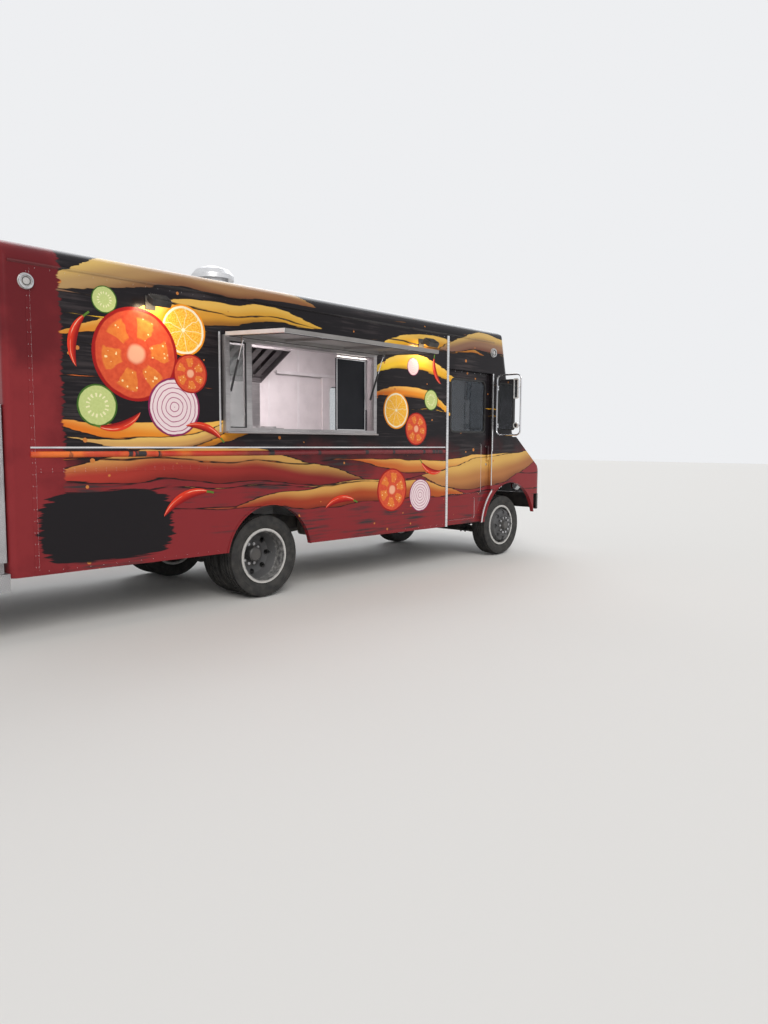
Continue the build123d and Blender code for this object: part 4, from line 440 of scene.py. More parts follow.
# Printed wrap. Vinyl film over the painted aluminium body, printed in charcoal and maroon,
# with ribbons of orange, yellow and tan that sweep from tail to nose, a maroon band down the
# tail and a dry-brushed dark patch low on the flank.
charcoal, soot = (0.013, 0.011, 0.013), (0.042, 0.034, 0.036)
maroon, wine = (0.235, 0.026, 0.03), (0.13, 0.014, 0.018)
lining_white, cab_grey, roof_grey = (0.78, 0.755, 0.755), (0.13, 0.13, 0.135), (0.34, 0.335, 0.33)
ink_black, ribbon_light, ribbon_shade = (0.012, 0.01, 0.011), (0.90, 0.62, 0.16), (0.10, 0.012, 0.012)
drop_orange, blot_black = (0.56, 0.20, 0.05), (0.014, 0.012, 0.014)
cab_wall_x, shoulder_z, film_edge, film_shine = 3.60, 2.934, 0.003, 0.13
ribbons = (
    # start, end, middle height, rise, bow, half width, first colour, last colour
    (-2.30, 0.60, 2.60, 0.22, 0.20, 0.15, (0.46, 0.30, 0.13), (0.22, 0.08, 0.03)),
    (-2.20, 1.30, 1.20, -0.10, 0.16, 0.16, (0.42, 0.045, 0.03), (0.16, 0.014, 0.018)),
    (-2.10, 0.50, 1.62, 0.30, -0.20, 0.11, (0.70, 0.16, 0.02), (0.84, 0.42, 0.03)),
    (-1.95, 0.20, 1.50, 0.55, -0.26, 0.055, (0.62, 0.36, 0.12), (0.52, 0.26, 0.08)),
    (-2.05, 0.70, 2.28, 0.34, 0.16, 0.10, (0.62, 0.22, 0.03), (0.72, 0.40, 0.05)),
    (-0.40, 3.10, 0.92, -0.06, 0.10, 0.13, (0.30, 0.03, 0.02), (0.46, 0.10, 0.02)),
    (1.20, 3.40, 2.46, 0.10, 0.16, 0.07, (0.80, 0.46, 0.03), (0.36, 0.10, 0.02)),
    (1.25, 3.00, 2.24, -0.02, 0.20, 0.085, (0.88, 0.58, 0.04), (0.74, 0.36, 0.03)),
    (1.30, 2.90, 2.00, -0.16, 0.18, 0.06, (0.70, 0.13, 0.02), (0.82, 0.40, 0.03)),
    (1.10, 4.90, 1.34, 0.10, -0.18, 0.10, (0.52, 0.10, 0.02), (0.66, 0.34, 0.10)),
    (2.20, 4.90, 1.10, 0.34, -0.16, 0.19, (0.50, 0.22, 0.07), (0.34, 0.13, 0.05)),
    (2.50, 4.40, 2.62, 0.06, 0.10, 0.12, (0.20, 0.10, 0.07), (0.34, 0.20, 0.12)),
)


def blend_colour(tree, mask, below, above):
    """Lays one colour over another where the mask is white."""
    mix = add(tree, "ShaderNodeMix", data_type="RGBA")
    tree.links.new(mask, mix.inputs["Factor"])
    for socket, value in ((mix.inputs[6], below), (mix.inputs[7], above)):
        if isinstance(value, tuple):
            socket.default_value = (*value, 1)
        else:
            tree.links.new(value, socket)
    return mix.outputs[2]


def soft_step(tree, value, low, high):
    """0 below the low value, 1 above the high one, smooth between."""
    node = add(tree, "ShaderNodeMapRange", interpolation_type="SMOOTHSTEP")
    node.inputs["From Min"].default_value = low
    node.inputs["From Max"].default_value = high
    tree.links.new(value, node.inputs["Value"])
    return node.outputs["Result"]


def cloud_of(tree, place, scale, detail=5.0, stretch=None):
    """A Noise node's strength, stretched along the axes if asked."""
    noise = add(tree, "ShaderNodeTexNoise")
    noise.inputs["Scale"].default_value = scale
    noise.inputs["Detail"].default_value = detail
    if stretch:
        mapping = add(tree, "ShaderNodeMapping")
        mapping.inputs["Scale"].default_value = stretch
        tree.links.new(place, mapping.inputs["Vector"])
        place = mapping.outputs["Vector"]
    tree.links.new(place, noise.inputs["Vector"])
    return noise.outputs["Fac"]


def wrap_print():
    """The print as one group, so that each panel carries its own part of the same picture."""
    group = bpy.data.node_groups.new("wrap print", "ShaderNodeTree")
    group.interface.new_socket("Color", in_out="OUTPUT", socket_type="NodeSocketColor")
    group.interface.new_socket("Gloss", in_out="OUTPUT", socket_type="NodeSocketFloat")
    place = add(group, "ShaderNodeTexCoord").outputs["Object"]
    split = add(group, "ShaderNodeSeparateXYZ")
    group.links.new(place, split.inputs[0])
    along = work(group, "SUBTRACT", split.outputs["X"], rear_hub.x)
    height = split.outputs["Z"]
    bristle = cloud_of(group, place, 1.0, 4, (2.2, 2.2, 38))
    cloud = cloud_of(group, place, 1.6, 8)
    drift = cloud_of(group, place, 0.75, 2)
    low_red = work(group, "MULTIPLY_ADD", cloud, 0.9, height)
    ground = blend_colour(group, soft_step(group, low_red, 1.50, 2.0), maroon, charcoal)
    smoke = work(group, "MULTIPLY", bristle, cloud)
    ground = blend_colour(group, soft_step(group, smoke, 0.24, 0.42), ground, soot)
    for start, end, middle, rise, bow, width, first, last in ribbons:
        part = add(group, "ShaderNodeMapRange")
        part.inputs["From Min"].default_value = start
        part.inputs["From Max"].default_value = end
        group.links.new(along, part.inputs["Value"])
        part = part.outputs["Result"]
        arch = work(group, "SINE", work(group, "MULTIPLY", part, pi))
        centre = work(group, "MULTIPLY_ADD", part, rise, middle)
        centre = work(group, "MULTIPLY_ADD", arch, bow, centre)
        centre = work(group, "MULTIPLY_ADD", drift, 0.3, work(group, "SUBTRACT", centre, 0.15))
        offset = work(group, "SUBTRACT", height, centre)
        swell = work(group, "MULTIPLY", work(group, "POWER", arch, 0.8), width)
        inside = work(group, "SUBTRACT", swell, work(group, "ABSOLUTE", offset))
        frayed = work(group, "MULTIPLY_ADD", bristle, 0.05, inside)
        tone = blend_colour(group, part, first, last)
        crown = soft_step(group, work(group, "DIVIDE", offset, width), -0.2, 0.7)
        tone = blend_colour(group, work(group, "MULTIPLY", crown, 0.5), tone, ribbon_light)
        shade = soft_step(group, work(group, "DIVIDE", offset, -width), 0.3, 0.95)
        tone = blend_colour(group, work(group, "MULTIPLY", shade, 0.6), tone, ribbon_shade)
        ground = blend_colour(group, soft_step(group, frayed, 0.014, 0.024), ground, ink_black)
        ground = blend_colour(group, soft_step(group, frayed, 0.026, 0.030), ground, tone)
    drops = add(group, "ShaderNodeTexVoronoi", feature="F1")
    drops.inputs["Scale"].default_value = 7.5
    group.links.new(place, drops.inputs["Vector"])
    drop_size = work(group, "MULTIPLY_ADD", cloud, 0.75, -0.33)
    drop_mask = work(group, "LESS_THAN", drops.outputs["Distance"], drop_size)
    ground = blend_colour(group, drop_mask, ground, drop_orange)
    ragged = work(group, "MULTIPLY_ADD", bristle, 0.12, along)
    band = blend_colour(group, soft_step(group, cloud, 0.4, 0.62), maroon, wine)
    ground = blend_colour(group, soft_step(group, ragged, -1.92, -1.90), band, ground)
    blot_x = work(group, "ABSOLUTE", work(group, "MULTIPLY_ADD", along, 1.65, 2.67))
    blot_z = work(group, "ABSOLUTE", work(group, "MULTIPLY_ADD", height, 3.3, -2.74))
    blot_x, blot_z = work(group, "POWER", blot_x, 4), work(group, "POWER", blot_z, 4)
    blot = work(group, "MULTIPLY_ADD", bristle, 1.3, work(group, "ADD", blot_x, blot_z))
    ground = blend_colour(group, soft_step(group, blot, 1.3, 1.42), blot_black, ground)
    out = group.nodes.new("NodeGroupOutput")
    group.links.new(ground, out.inputs["Color"])
    group.links.new(work(group, "MULTIPLY_ADD", cloud, 0.2, 0.12), out.inputs["Gloss"])
    return group


print_group = wrap_print()
lining_centre, lining_y = at(0.9, 0.0, 1.75), (1.064, 1.095)
glass_x, glass_z = (2.77, 3.51), (1.61, 2.31)


def inside_band(tree, value, low, high):
    """1 between two values and 0 elsewhere."""
    above, below = work(tree, "GREATER_THAN", value, low), work(tree, "LESS_THAN", value, high)
    return work(tree, "MULTIPLY", above, below)


def panel_finish(name, bare_roof=False):
    """The print outside, white lining in the kitchen and grey in the cab, by where a face looks."""
    finish, tree, shader = new_finish(name)
    source = add(tree, "ShaderNodeTexCoord")
    centred = add(tree, "ShaderNodeMapping")
    centred.inputs["Location"].default_value = -lining_centre
    tree.links.new(source.outputs["Object"], centred.inputs["Vector"])
    facing_out = add(tree, "ShaderNodeVectorMath", operation="DOT_PRODUCT")
    tree.links.new(centred.outputs["Vector"], facing_out.inputs[0])
    tree.links.new(source.outputs["Normal"], facing_out.inputs[1])
    outer = work(tree, "GREATER_THAN", facing_out.outputs["Value"], 0)
    split = add(tree, "ShaderNodeSeparateXYZ")
    tree.links.new(source.outputs["Object"], split.inputs[0])
    look = add(tree, "ShaderNodeSeparateXYZ")
    tree.links.new(source.outputs["Normal"], look.inputs[0])
    across = work(tree, "ABSOLUTE", work(tree, "SUBTRACT", split.outputs["Y"], middle_y))
    along = work(tree, "SUBTRACT", split.outputs["X"], rear_hub.x)
    by_glass = inside_band(tree, split.outputs["Z"], *glass_z)
    by_glass = work(tree, "MULTIPLY", inside_band(tree, along, *glass_x), by_glass)
    by_glass = work(tree, "MULTIPLY", by_glass, work(tree, "GREATER_THAN", across, lining_y[0]))
    deep = work(tree, "MAXIMUM", by_glass, work(tree, "GREATER_THAN", across, lining_y[1]))
    reveal = work(tree, "LESS_THAN", work(tree, "ABSOLUTE", look.outputs["Y"]), 0.5)
    outer = work(tree, "MAXIMUM", outer, work(tree, "MULTIPLY", reveal, deep))
    stain = cloud_of(tree, source.outputs["Object"], 5, 7)
    stained = tuple(0.9 * c for c in lining_white)
    board = blend_colour(tree, soft_step(tree, stain, 0.4, 0.75), lining_white, stained)
    in_cab = work(tree, "GREATER_THAN", along, cab_wall_x)
    board = blend_colour(tree, in_cab, board, cab_grey)
    film = add(tree, "ShaderNodeGroup")
    film.node_tree = print_group
    colour = film.outputs["Color"]
    if bare_roof:
        dusty = tuple(0.8 * c for c in roof_grey)
        worn = blend_colour(tree, soft_step(tree, stain, 0.4, 0.7), roof_grey, dusty)
        on_top = soft_step(tree, split.outputs["Z"], shoulder_z, shoulder_z + film_edge)
        colour = blend_colour(tree, on_top, colour, worn)
    tree.links.new(blend_colour(tree, outer, board, colour), shader.inputs["Base Color"])
    rough = add(tree, "ShaderNodeMix", data_type="FLOAT")
    rough.inputs[2].default_value = 0.42
    tree.links.new(outer, rough.inputs["Factor"])
    tree.links.new(film.outputs["Gloss"], rough.inputs[3])
    tree.links.new(rough.outputs[0], shader.inputs["Roughness"])
    ripple = add(tree, "ShaderNodeBump")
    ripple.inputs["Strength"].default_value = 0.12
    ripple.inputs["Distance"].default_value = 0.004
    tree.links.new(cloud_of(tree, source.outputs["Object"], 2.4, 2), ripple.inputs["Height"])
    tree.links.new(ripple.outputs["Normal"], shader.inputs["Normal"])
    shader.inputs["Specular IOR Level"].default_value = film_shine
    return finish


film = panel_finish("printed wrap")
roof_film = panel_finish("wrapped roof shoulders", bare_roof=True)
coat(film, "side_wall_right", "side_wall_left", "door_right", "door_left", "nose", "bonnet")
coat(film, "cab_front", "rear_wall", "rear_door")
coat(roof_film, "roof")

# Printed slices. Cut vinyl prints of tomato, orange, onion and cucumber slices laid over the
# wrap in overlapping layers, each a thin film that shines like the rest.
print_layers, slice_sides = (0.0007, 0.0013, 0.0019, 0.0025), 64
slice_table = (
    # kind, side, along, height, radius, turn, layer
    ("tomato", kerb, -1.36, 2.20, 0.375, 10, 1), ("orange", kerb, -0.92, 2.44, 0.215, 40, 0),
    ("onion", kerb, -1.02, 1.79, 0.245, 0, 2), ("cucumber", kerb, -1.70, 1.78, 0.165, 25, 2),
    ("cucumber", kerb, -1.62, 2.60, 0.105, 70, 0), ("tomato", kerb, -0.86, 2.08, 0.165, 33, 3),
    ("orange", kerb, 1.76, 1.86, 0.205, 12, 1), ("tomato", kerb, 2.10, 1.66, 0.185, 50, 2),
    ("cucumber", kerb, 2.36, 2.00, 0.120, 5, 1), ("onion", kerb, 2.04, 2.36, 0.100, 0, 0),
    ("tomato", kerb, 1.70, 0.98, 0.240, 20, 1), ("onion", kerb, 2.18, 0.90, 0.190, 0, 0),
    ("tomato", driver, -1.30, 2.12, 0.380, 15, 1), ("orange", driver, -0.72, 2.30, 0.300, 45, 0),
    ("onion", driver, -0.86, 1.74, 0.230, 0, 2), ("cucumber", driver, -1.76, 1.72, 0.160, 25, 2),
    ("cucumber", driver, 0.36, 1.80, 0.140, 65, 1), ("tomato", driver, 1.10, 2.24, 0.300, 30, 1),
    ("orange", driver, 1.62, 1.84, 0.240, 12, 2), ("onion", driver, 1.96, 2.36, 0.190, 0, 0),
    ("tomato", driver, 1.60, 0.98, 0.250, 20, 1),
)


def polar(tree):
    """The distance and the angle on a slice, from its own UV circle."""
    uv = add(tree, "ShaderNodeTexCoord").outputs["UV"]
    split = add(tree, "ShaderNodeSeparateXYZ")
    tree.links.new(uv, split.inputs[0])
    reach = add(tree, "ShaderNodeVectorMath", operation="LENGTH")
    tree.links.new(uv, reach.inputs[0])
    angle = work(tree, "ARCTAN2", split.outputs["Y"], split.outputs["X"])
    wobble = work(tree, "SUBTRACT", cloud_of(tree, uv, 2.2, 3), 0.5)
    out = work(tree, "MULTIPLY_ADD", wobble, 0.10, reach.outputs["Value"])
    return uv, out, work(tree, "MULTIPLY_ADD", wobble, 0.55, angle)


def band(tree, value, low, high, soft=0.02):
    """1 between two values, with soft ends."""
    rise = soft_step(tree, value, low - soft, low + soft)
    fall = work(tree, "SUBTRACT", 1, soft_step(tree, value, high - soft, high + soft))
    return work(tree, "MULTIPLY", rise, fall)


def gloss_like_film(finish, tree, shader, colour, uv):
    """Gives a print its colour and the gloss of the film round it."""
    tree.links.new(colour, shader.inputs["Base Color"])
    rough = work(tree, "MULTIPLY_ADD", cloud_of(tree, uv, 5), 0.2, 0.14)
    tree.links.new(rough, shader.inputs["Roughness"])
    shader.inputs["Specular IOR Level"].default_value = film_shine
    return finish


def tomato_finish():
    """Red flesh round six pockets of gel with seeds, a pale core and a dark skin."""
    finish, tree, shader = new_finish("tomato print")
    uv, reach, angle = polar(tree)
    fibre = cloud_of(tree, uv, 9, 4)
    flesh = blend_colour(tree, fibre, (0.50, 0.035, 0.02), (0.80, 0.13, 0.05))
    petals = work(tree, "COSINE", work(tree, "MULTIPLY", angle, 6))
    petals = soft_step(tree, petals, -0.35, -0.05)
    gel_mask = work(tree, "MULTIPLY", petals, band(tree, reach, 0.36, 0.78, 0.03))
    seeds = add(tree, "ShaderNodeTexVoronoi", feature="F1")
    seeds.inputs["Scale"].default_value = 8.5
    tree.links.new(uv, seeds.inputs["Vector"])
    gel = blend_colour(tree, fibre, (0.62, 0.10, 0.02), (0.86, 0.30, 0.06))
    in_seed = work(tree, "LESS_THAN", seeds.outputs["Distance"], 0.2)
    gel = blend_colour(tree, in_seed, gel, (0.92, 0.70, 0.34))
    colour = blend_colour(tree, gel_mask, flesh, gel)
    colour = blend_colour(tree, band(tree, reach, -1, 0.2, 0.05), colour, (0.86, 0.42, 0.26))
    colour = blend_colour(tree, soft_step(tree, reach, 0.91, 0.94), colour, (0.34, 0.012, 0.012))
    return gloss_like_film(finish, tree, shader, colour, uv)


def orange_finish():
    """Nine wedges in thin pale skins, a pale pith and an orange peel."""
    finish, tree, shader = new_finish("orange print")
    uv, reach, angle = polar(tree)
    vesicles = cloud_of(tree, uv, 16, 3)
    juicy = soft_step(tree, vesicles, 0.35, 0.65)
    flesh = blend_colour(tree, juicy, (0.90, 0.36, 0.02), (0.98, 0.62, 0.10))
    wedges = work(tree, "SINE", work(tree, "MULTIPLY", angle, 4.5))
    skin = work(tree, "MULTIPLY", work(tree, "ABSOLUTE", wedges), reach)
    pith = (0.95, 0.84, 0.60)
    colour = blend_colour(tree, soft_step(tree, skin, 0.035, 0.06), (0.96, 0.80, 0.48), flesh)
    colour = blend_colour(tree, soft_step(tree, reach, 0.82, 0.85), colour, pith)
    colour = blend_colour(tree, soft_step(tree, reach, 0.91, 0.93), colour, (0.86, 0.30, 0.015))
    colour = blend_colour(tree, soft_step(tree, reach, 0.06, 0.09), pith, colour)
    return gloss_like_film(finish, tree, shader, colour, uv)


def onion_finish():
    """Pale rings between thin purple skins."""
    finish, tree, shader = new_finish("onion print")
    uv, reach, angle = polar(tree)
    rings = work(tree, "ABSOLUTE", work(tree, "SINE", work(tree, "MULTIPLY", reach, 19)))
    colour = blend_colour(tree, soft_step(tree, rings, 0.1, 0.45), (0.36, 0.06, 0.16), (0.80, 0.66, 0.68))
    colour = blend_colour(tree, soft_step(tree, reach, 0.92, 0.94), colour, (0.24, 0.02, 0.09))
    return gloss_like_film(finish, tree, shader, colour, uv)


def cucumber_finish():
    """Pale green flesh with a ring of seeds and a dark green skin."""
    finish, tree, shader = new_finish("cucumber print")
    uv, reach, angle = polar(tree)
    colour = blend_colour(tree, cloud_of(tree, uv, 8), (0.42, 0.52, 0.16), (0.62, 0.68, 0.30))
    seeds = work(tree, "GREATER_THAN", work(tree, "COSINE", work(tree, "MULTIPLY", angle, 15)), 0.35)
    seeds = work(tree, "MULTIPLY", seeds, band(tree, reach, 0.40, 0.58, 0.02))
    colour = blend_colour(tree, seeds, colour, (0.80, 0.78, 0.46))
    colour = blend_colour(tree, soft_step(tree, reach, 0.90, 0.93), colour, (0.05, 0.13, 0.02))
    return gloss_like_film(finish, tree, shader, colour, uv)


slice_finishes = {
    "tomato": tomato_finish(), "orange": orange_finish(),
    "onion": onion_finish(), "cucumber": cucumber_finish(),
}
for kind, finish in slice_finishes.items():
    mesh = bmesh.new()
    print_uv = mesh.loops.layers.uv.new("print")
    for row_kind, side, along, height, radius, spin, layer in slice_table:
        if row_kind != kind:
            continue
        stand = facing((along, side * half_width, height), (0, side, 0))
        stand = stand @ Matrix.Rotation(radians(spin), 4, "Z")
        before = set(mesh.faces)
        add_slug(mesh, stand, radius, print_layers[layer], sides=slice_sides)
        flat = (stand @ Matrix.Diagonal((radius, radius, 1, 1))).inverted()
        for face in set(mesh.faces) - before:
            for loop in face.loops:
                loop[print_uv].uv = (flat @ loop.vert.co).xy
    new_piece(f"printed_{kind}_slices", mesh, finish, "truck", smooth=False)

# Printed chillies. Long curved pods, red with a pale glint along the back and a green stalk.
chilli_lift, chilli_film, chilli_steps = 0.0031, 0.0005, (26, 4)
stalk_from, stalk_width, pod_reach, pod_fullness, pod_tip = 0.87, 0.22, 1.08, 0.7, 0.04
chilli_table = (
    # side, along, height, length's radius, bend in degrees, half width, turn
    (kerb, -1.88, 2.30, 0.34, 80, 0.036, 75), (kerb, -0.70, 1.62, 0.40, 62, 0.034, -20),
    (kerb, -1.52, 1.62, 0.36, 70, 0.034, 195), (kerb, 2.42, 2.34, 0.30, 72, 0.030, 110),
    (kerb, -0.92, 1.04, 0.46, 70, 0.040, 20), (kerb, 2.34, 1.18, 0.34, 75, 0.034, 160),
    (kerb, 0.92, 0.92, 0.42, 66, 0.038, 5), (driver, -1.90, 2.34, 0.34, 80, 0.036, 285),
    (driver, -0.20, 2.50, 0.44, 60, 0.036, 15), (driver, 0.70, 1.74, 0.40, 62, 0.034, 190),
    (driver, 0.90, 0.94, 0.44, 70, 0.040, 10), (driver, 2.34, 2.00, 0.34, 75, 0.034, 100),
)


def chilli_finish():
    """Red along the pod, darker below, with a glint on its back and a green stalk."""
    finish, tree, shader = new_finish("chilli print")
    uv = add(tree, "ShaderNodeTexCoord").outputs["UV"]
    split = add(tree, "ShaderNodeSeparateXYZ")
    tree.links.new(uv, split.inputs[0])
    upper = soft_step(tree, split.outputs["Y"], -0.9, 0.5)
    body = blend_colour(tree, upper, (0.26, 0.008, 0.01), (0.72, 0.045, 0.02))
    glint = band(tree, split.outputs["Y"], 0.30, 0.52, 0.08)
    glint = work(tree, "MULTIPLY", glint, soft_step(tree, cloud_of(tree, uv, 3), 0.42, 0.6))
    body = blend_colour(tree, glint, body, (0.96, 0.62, 0.42))
    stalk = soft_step(tree, split.outputs["X"], 0.86, 0.875)
    colour = blend_colour(tree, stalk, body, (0.10, 0.20, 0.03))
    return gloss_like_film(finish, tree, shader, colour, uv)


mesh = bmesh.new()
print_uv = mesh.loops.layers.uv.new("print")
for side, along, height, radius, bend, width, spin in chilli_table:
    stand = facing((along, side * (half_width + chilli_lift), height), (0, side, 0))
    stand = stand @ Matrix.Rotation(radians(spin), 4, "Z")
    before = set(mesh.faces)
    steps_along, steps_across = chilli_steps
    made = bmesh.ops.create_grid(mesh, x_segments=steps_along, y_segments=steps_across, size=1)["verts"]
    for face in set(mesh.faces) - before:
        for loop in face.loops:
            loop[print_uv].uv = ((loop.vert.co.x + 1) / 2, loop.vert.co.y)
    for vert in made:
        part, across = (vert.co.x + 1) / 2, vert.co.y
        pod = max(sin(pi * min(part * pod_reach, 1)) ** pod_fullness, pod_tip)
        thick = width * (stalk_width if part > stalk_from else pod)
        angle, out = radians(bend) * (part - 0.5), radius + thick * across
        vert.co = (out * sin(angle), out * cos(angle) - radius, 0)
    bmesh.ops.transform(mesh, matrix=stand, verts=made)
    bmesh.ops.solidify(mesh, geom=list(set(mesh.faces) - before), thickness=chilli_film)
new_piece("printed_chillies", mesh, chilli_finish(), "truck", smooth=False)

# Body seams. Wrapped cover strips over the joints of the side sheets, with a row of round
# rivets along each edge and rows at the skirt and the eave, and grey strips across the roof.
seam_z, seam_x, strip_half, strip_proud = 1.279, -2.205, 0.017, 0.0016
seam_end, strip_foot, strip_head, strip_round = 2.630, 0.53, 2.745, 0.0006
rivet_radius, rivet_rise, rivet_sides = 0.0048, 0.0018, 8
rivet_tip = rivet_radius / 2
rivet_off_seam, rivet_pitch, row_pitch, head_row_z, foot_row_z = 0.010, 0.085, 0.11, 2.752, 0.522
roof_seams, roof_strip_half, roof_strip_reach = (-1.20, 0.02, 1.22, 2.42), 0.022, 0.975
roof_strip_z, roof_strip_round = (2.9398, 2.9418), 0.0008
roof_rivet_reach, roof_rivet_pitch, roof_rivet_off = 0.94, 0.12, 0.013


def spaced(start, end, pitch):
    """Even steps from one value to another, no longer than the pitch."""
    count = max(round((end - start) / pitch), 1)
    return [start + (end - start) * i / count for i in range(count + 1)]


strips, rivets, roof_strips = bmesh.new(), bmesh.new(), bmesh.new()
for side, name in sides:
    y = sorted((side * half_width, side * (half_width + strip_proud)))
    low, high = (seam_x + strip_half, y[0], seam_z - strip_half), (seam_end, y[1], seam_z + strip_half)
    add_block(strips, low, high, strip_round)
    low, high = (seam_x - strip_half, y[0], strip_foot), (seam_x + strip_half, y[1], strip_head)
    add_block(strips, low, high, strip_round)
    offs = (-rivet_off_seam, rivet_off_seam)
    spots = [(x, seam_z + off) for x in spaced(seam_x + 0.05, 2.61, rivet_pitch) for off in offs]
    spots += [(seam_x + off, z) for z in spaced(0.56, 2.72, rivet_pitch) for off in offs]
    spots += [(x, head_row_z) for x in spaced(-2.15, 2.60, row_pitch)]
    spots += [(x, foot_row_z) for x in [*spaced(-2.12, -0.60, row_pitch), *spaced(0.60, 2.60, row_pitch)]]
    for x, z in spots:
        proud = strip_proud if abs(z - seam_z) < strip_half or abs(x - seam_x) < strip_half else 0.0
        stand = facing((x, side * (half_width + proud), z), (0, side, 0))
        add_slug(rivets, stand, rivet_radius, rivet_rise, rivet_tip, rivet_sides)
for x in roof_seams:
    low = (x - roof_strip_half, -roof_strip_reach, roof_strip_z[0])
    high = (x + roof_strip_half, roof_strip_reach, roof_strip_z[1])
    add_block(roof_strips, low, high, roof_strip_round)
    for y in spaced(-roof_rivet_reach, roof_rivet_reach, roof_rivet_pitch):
        for off in (-roof_rivet_off, roof_rivet_off):
            stand = facing((x + off, y, roof_strip_z[1]), (0, 0, 1), (0, 1, 0))
            add_slug(rivets, stand, rivet_radius, rivet_rise, rivet_tip, rivet_sides)
new_piece("side_seam_strips", strips, film, "truck", smooth=False)
new_piece("roof_seam_strips", roof_strips, roof_film, "truck", smooth=False)
new_piece("body_rivets", rivets, roof_film, "truck")

# Bright trim. Extruded aluminium posts, beads, arch trim and gutter, brushed along their
# length and left bare; the half-round rub rail is wrapped in red film that darkens forward.
rail_top, rail_foot, rail_end, gutter_foot = 1.4285, 1.3715, 2.636, 2.766
along_body = (4, 260, 260)


def brushed_finish(name, dark, light, rough, direction, metal=0.85):
    """Metal with fine scratches along one direction."""
    finish, tree, shader = new_finish(name)
    place = add(tree, "ShaderNodeTexCoord").outputs["Object"]
    scratch = cloud_of(tree, place, 1.0, 5, direction)
    both = work(tree, "MULTIPLY_ADD", scratch, 0.5, work(tree, "MULTIPLY", cloud_of(tree, place, 3.0), 0.5))
    colour = blend_colour(tree, soft_step(tree, both, 0.38, 0.62), dark, light)
    tree.links.new(colour, shader.inputs["Base Color"])
    gloss = work(tree, "MULTIPLY_ADD", both, rough[1] - rough[0], rough[0])
    tree.links.new(gloss, shader.inputs["Roughness"])
    relief = add(tree, "ShaderNodeBump")
    relief.inputs["Strength"].default_value = 0.06
    relief.inputs["Distance"].default_value = 0.001
    tree.links.new(scratch, relief.inputs["Height"])
    tree.links.new(relief.outputs["Normal"], shader.inputs["Normal"])
    shader.inputs["Metallic"].default_value = metal
    return finish


def trim_finish():
    """Bare aluminium, but for the rub rail and the gutter, told apart by their height."""
    finish = brushed_finish(
        "bright trim", (0.60, 0.60, 0.61), (0.84, 0.84, 0.85), (0.18, 0.38), along_body
    )
    tree, shader = finish.node_tree, finish.node_tree.nodes["Principled BSDF"]
    bare = shader.inputs["Base Color"].links[0].from_socket
    place = add(tree, "ShaderNodeTexCoord").outputs["Object"]
    split = add(tree, "ShaderNodeSeparateXYZ")
    tree.links.new(place, split.inputs[0])
    along = work(tree, "SUBTRACT", split.outputs["X"], rear_hub.x)
    on_rail = band(tree, split.outputs["Z"], rail_foot, rail_top, 0.0004)
    wrapped = work(tree, "MULTIPLY", on_rail, work(tree, "LESS_THAN", along, rail_end))
    patches = cloud_of(tree, place, 1.0, 4, (2.4, 1, 1))
    fade = work(tree, "MULTIPLY_ADD", patches, 2.4, along)
    red = blend_colour(tree, soft_step(tree, patches, 0.42, 0.6), (0.52, 0.035, 0.015), (0.78, 0.16, 0.02))
    tone = blend_colour(tree, soft_step(tree, fade, 0.0, 1.4), red, (0.17, 0.012, 0.016))
    # Dark dashes stretched along the rail.
    rail_dark_dashes = soft_step(tree, cloud_of(tree, place, 1.0, 5, (7, 1, 1)), 0.56, 0.60)
    tone = blend_colour(tree, rail_dark_dashes, tone, (0.02, 0.016, 0.018))
    printed = add(tree, "ShaderNodeGroup")
    printed.node_tree = print_group
    on_gutter = work(tree, "GREATER_THAN", split.outputs["Z"], gutter_foot)
    tone = blend_colour(tree, on_gutter, tone, printed.outputs["Color"])
    wrapped = work(tree, "MAXIMUM", wrapped, on_gutter)
    tree.links.new(blend_colour(tree, wrapped, bare, tone), shader.inputs["Base Color"])
    tree.links.new(work(tree, "MULTIPLY_ADD", wrapped, -0.85, 0.85), shader.inputs["Metallic"])
    return finish


aluminium = brushed_finish(
    "satin aluminium", (0.56, 0.56, 0.57), (0.8, 0.8, 0.81), (0.2, 0.42), along_body
)
coat(trim_finish(), "side_trim")
# The window frame's aluminium is darkened as painted shade.
shaded_frame_aluminium = brushed_finish(
    "aluminium with painted shade", (0.30, 0.28, 0.285), (0.47, 0.45, 0.45), (0.3, 0.5), along_body
)
coat(aluminium, "roof_fan")
coat(shaded_frame_aluminium, "window_frame")

# Window frame. A flanged aluminium frame, darkened with painted shade, screwed to the wall, with
# a black rubber channel for the side light, a lamp strip over the board, and bright cover strips
# beside the frame and behind the front posts.
window_x, window_z, flange, frame_face = (-0.533, 1.396), (1.583, 2.444), 0.0225, -1.190
screw_pitch, jamb_pitch, screw_lift = 0.16, 0.15, 0.004
screw_radius, screw_rise, screw_tip = 0.0046, 0.0022, 0.003
cover_gauge, cover_round = 0.0035, 0.0008
cover_table = (
    # side, start, end, foot, head
    (kerb, -0.571, -0.553, 1.590, 2.468), (kerb, 1.414, 1.432, 1.590, 2.468),
    (kerb, 3.581, 3.597, 0.960, 1.428), (driver, 3.581, 3.597, 0.960, 1.428),
)
glow_low, glow_high, glow_round = (0.872, -1.1520, 2.3735), (1.279, -1.1240, 2.3830), 0.003
rubber_black = steel_finish(
    "black rubber", (0.01, 0.01, 0.01), (0.03, 0.03, 0.03), (0.45, 0.7), grain=18.0, bump=0.25
)


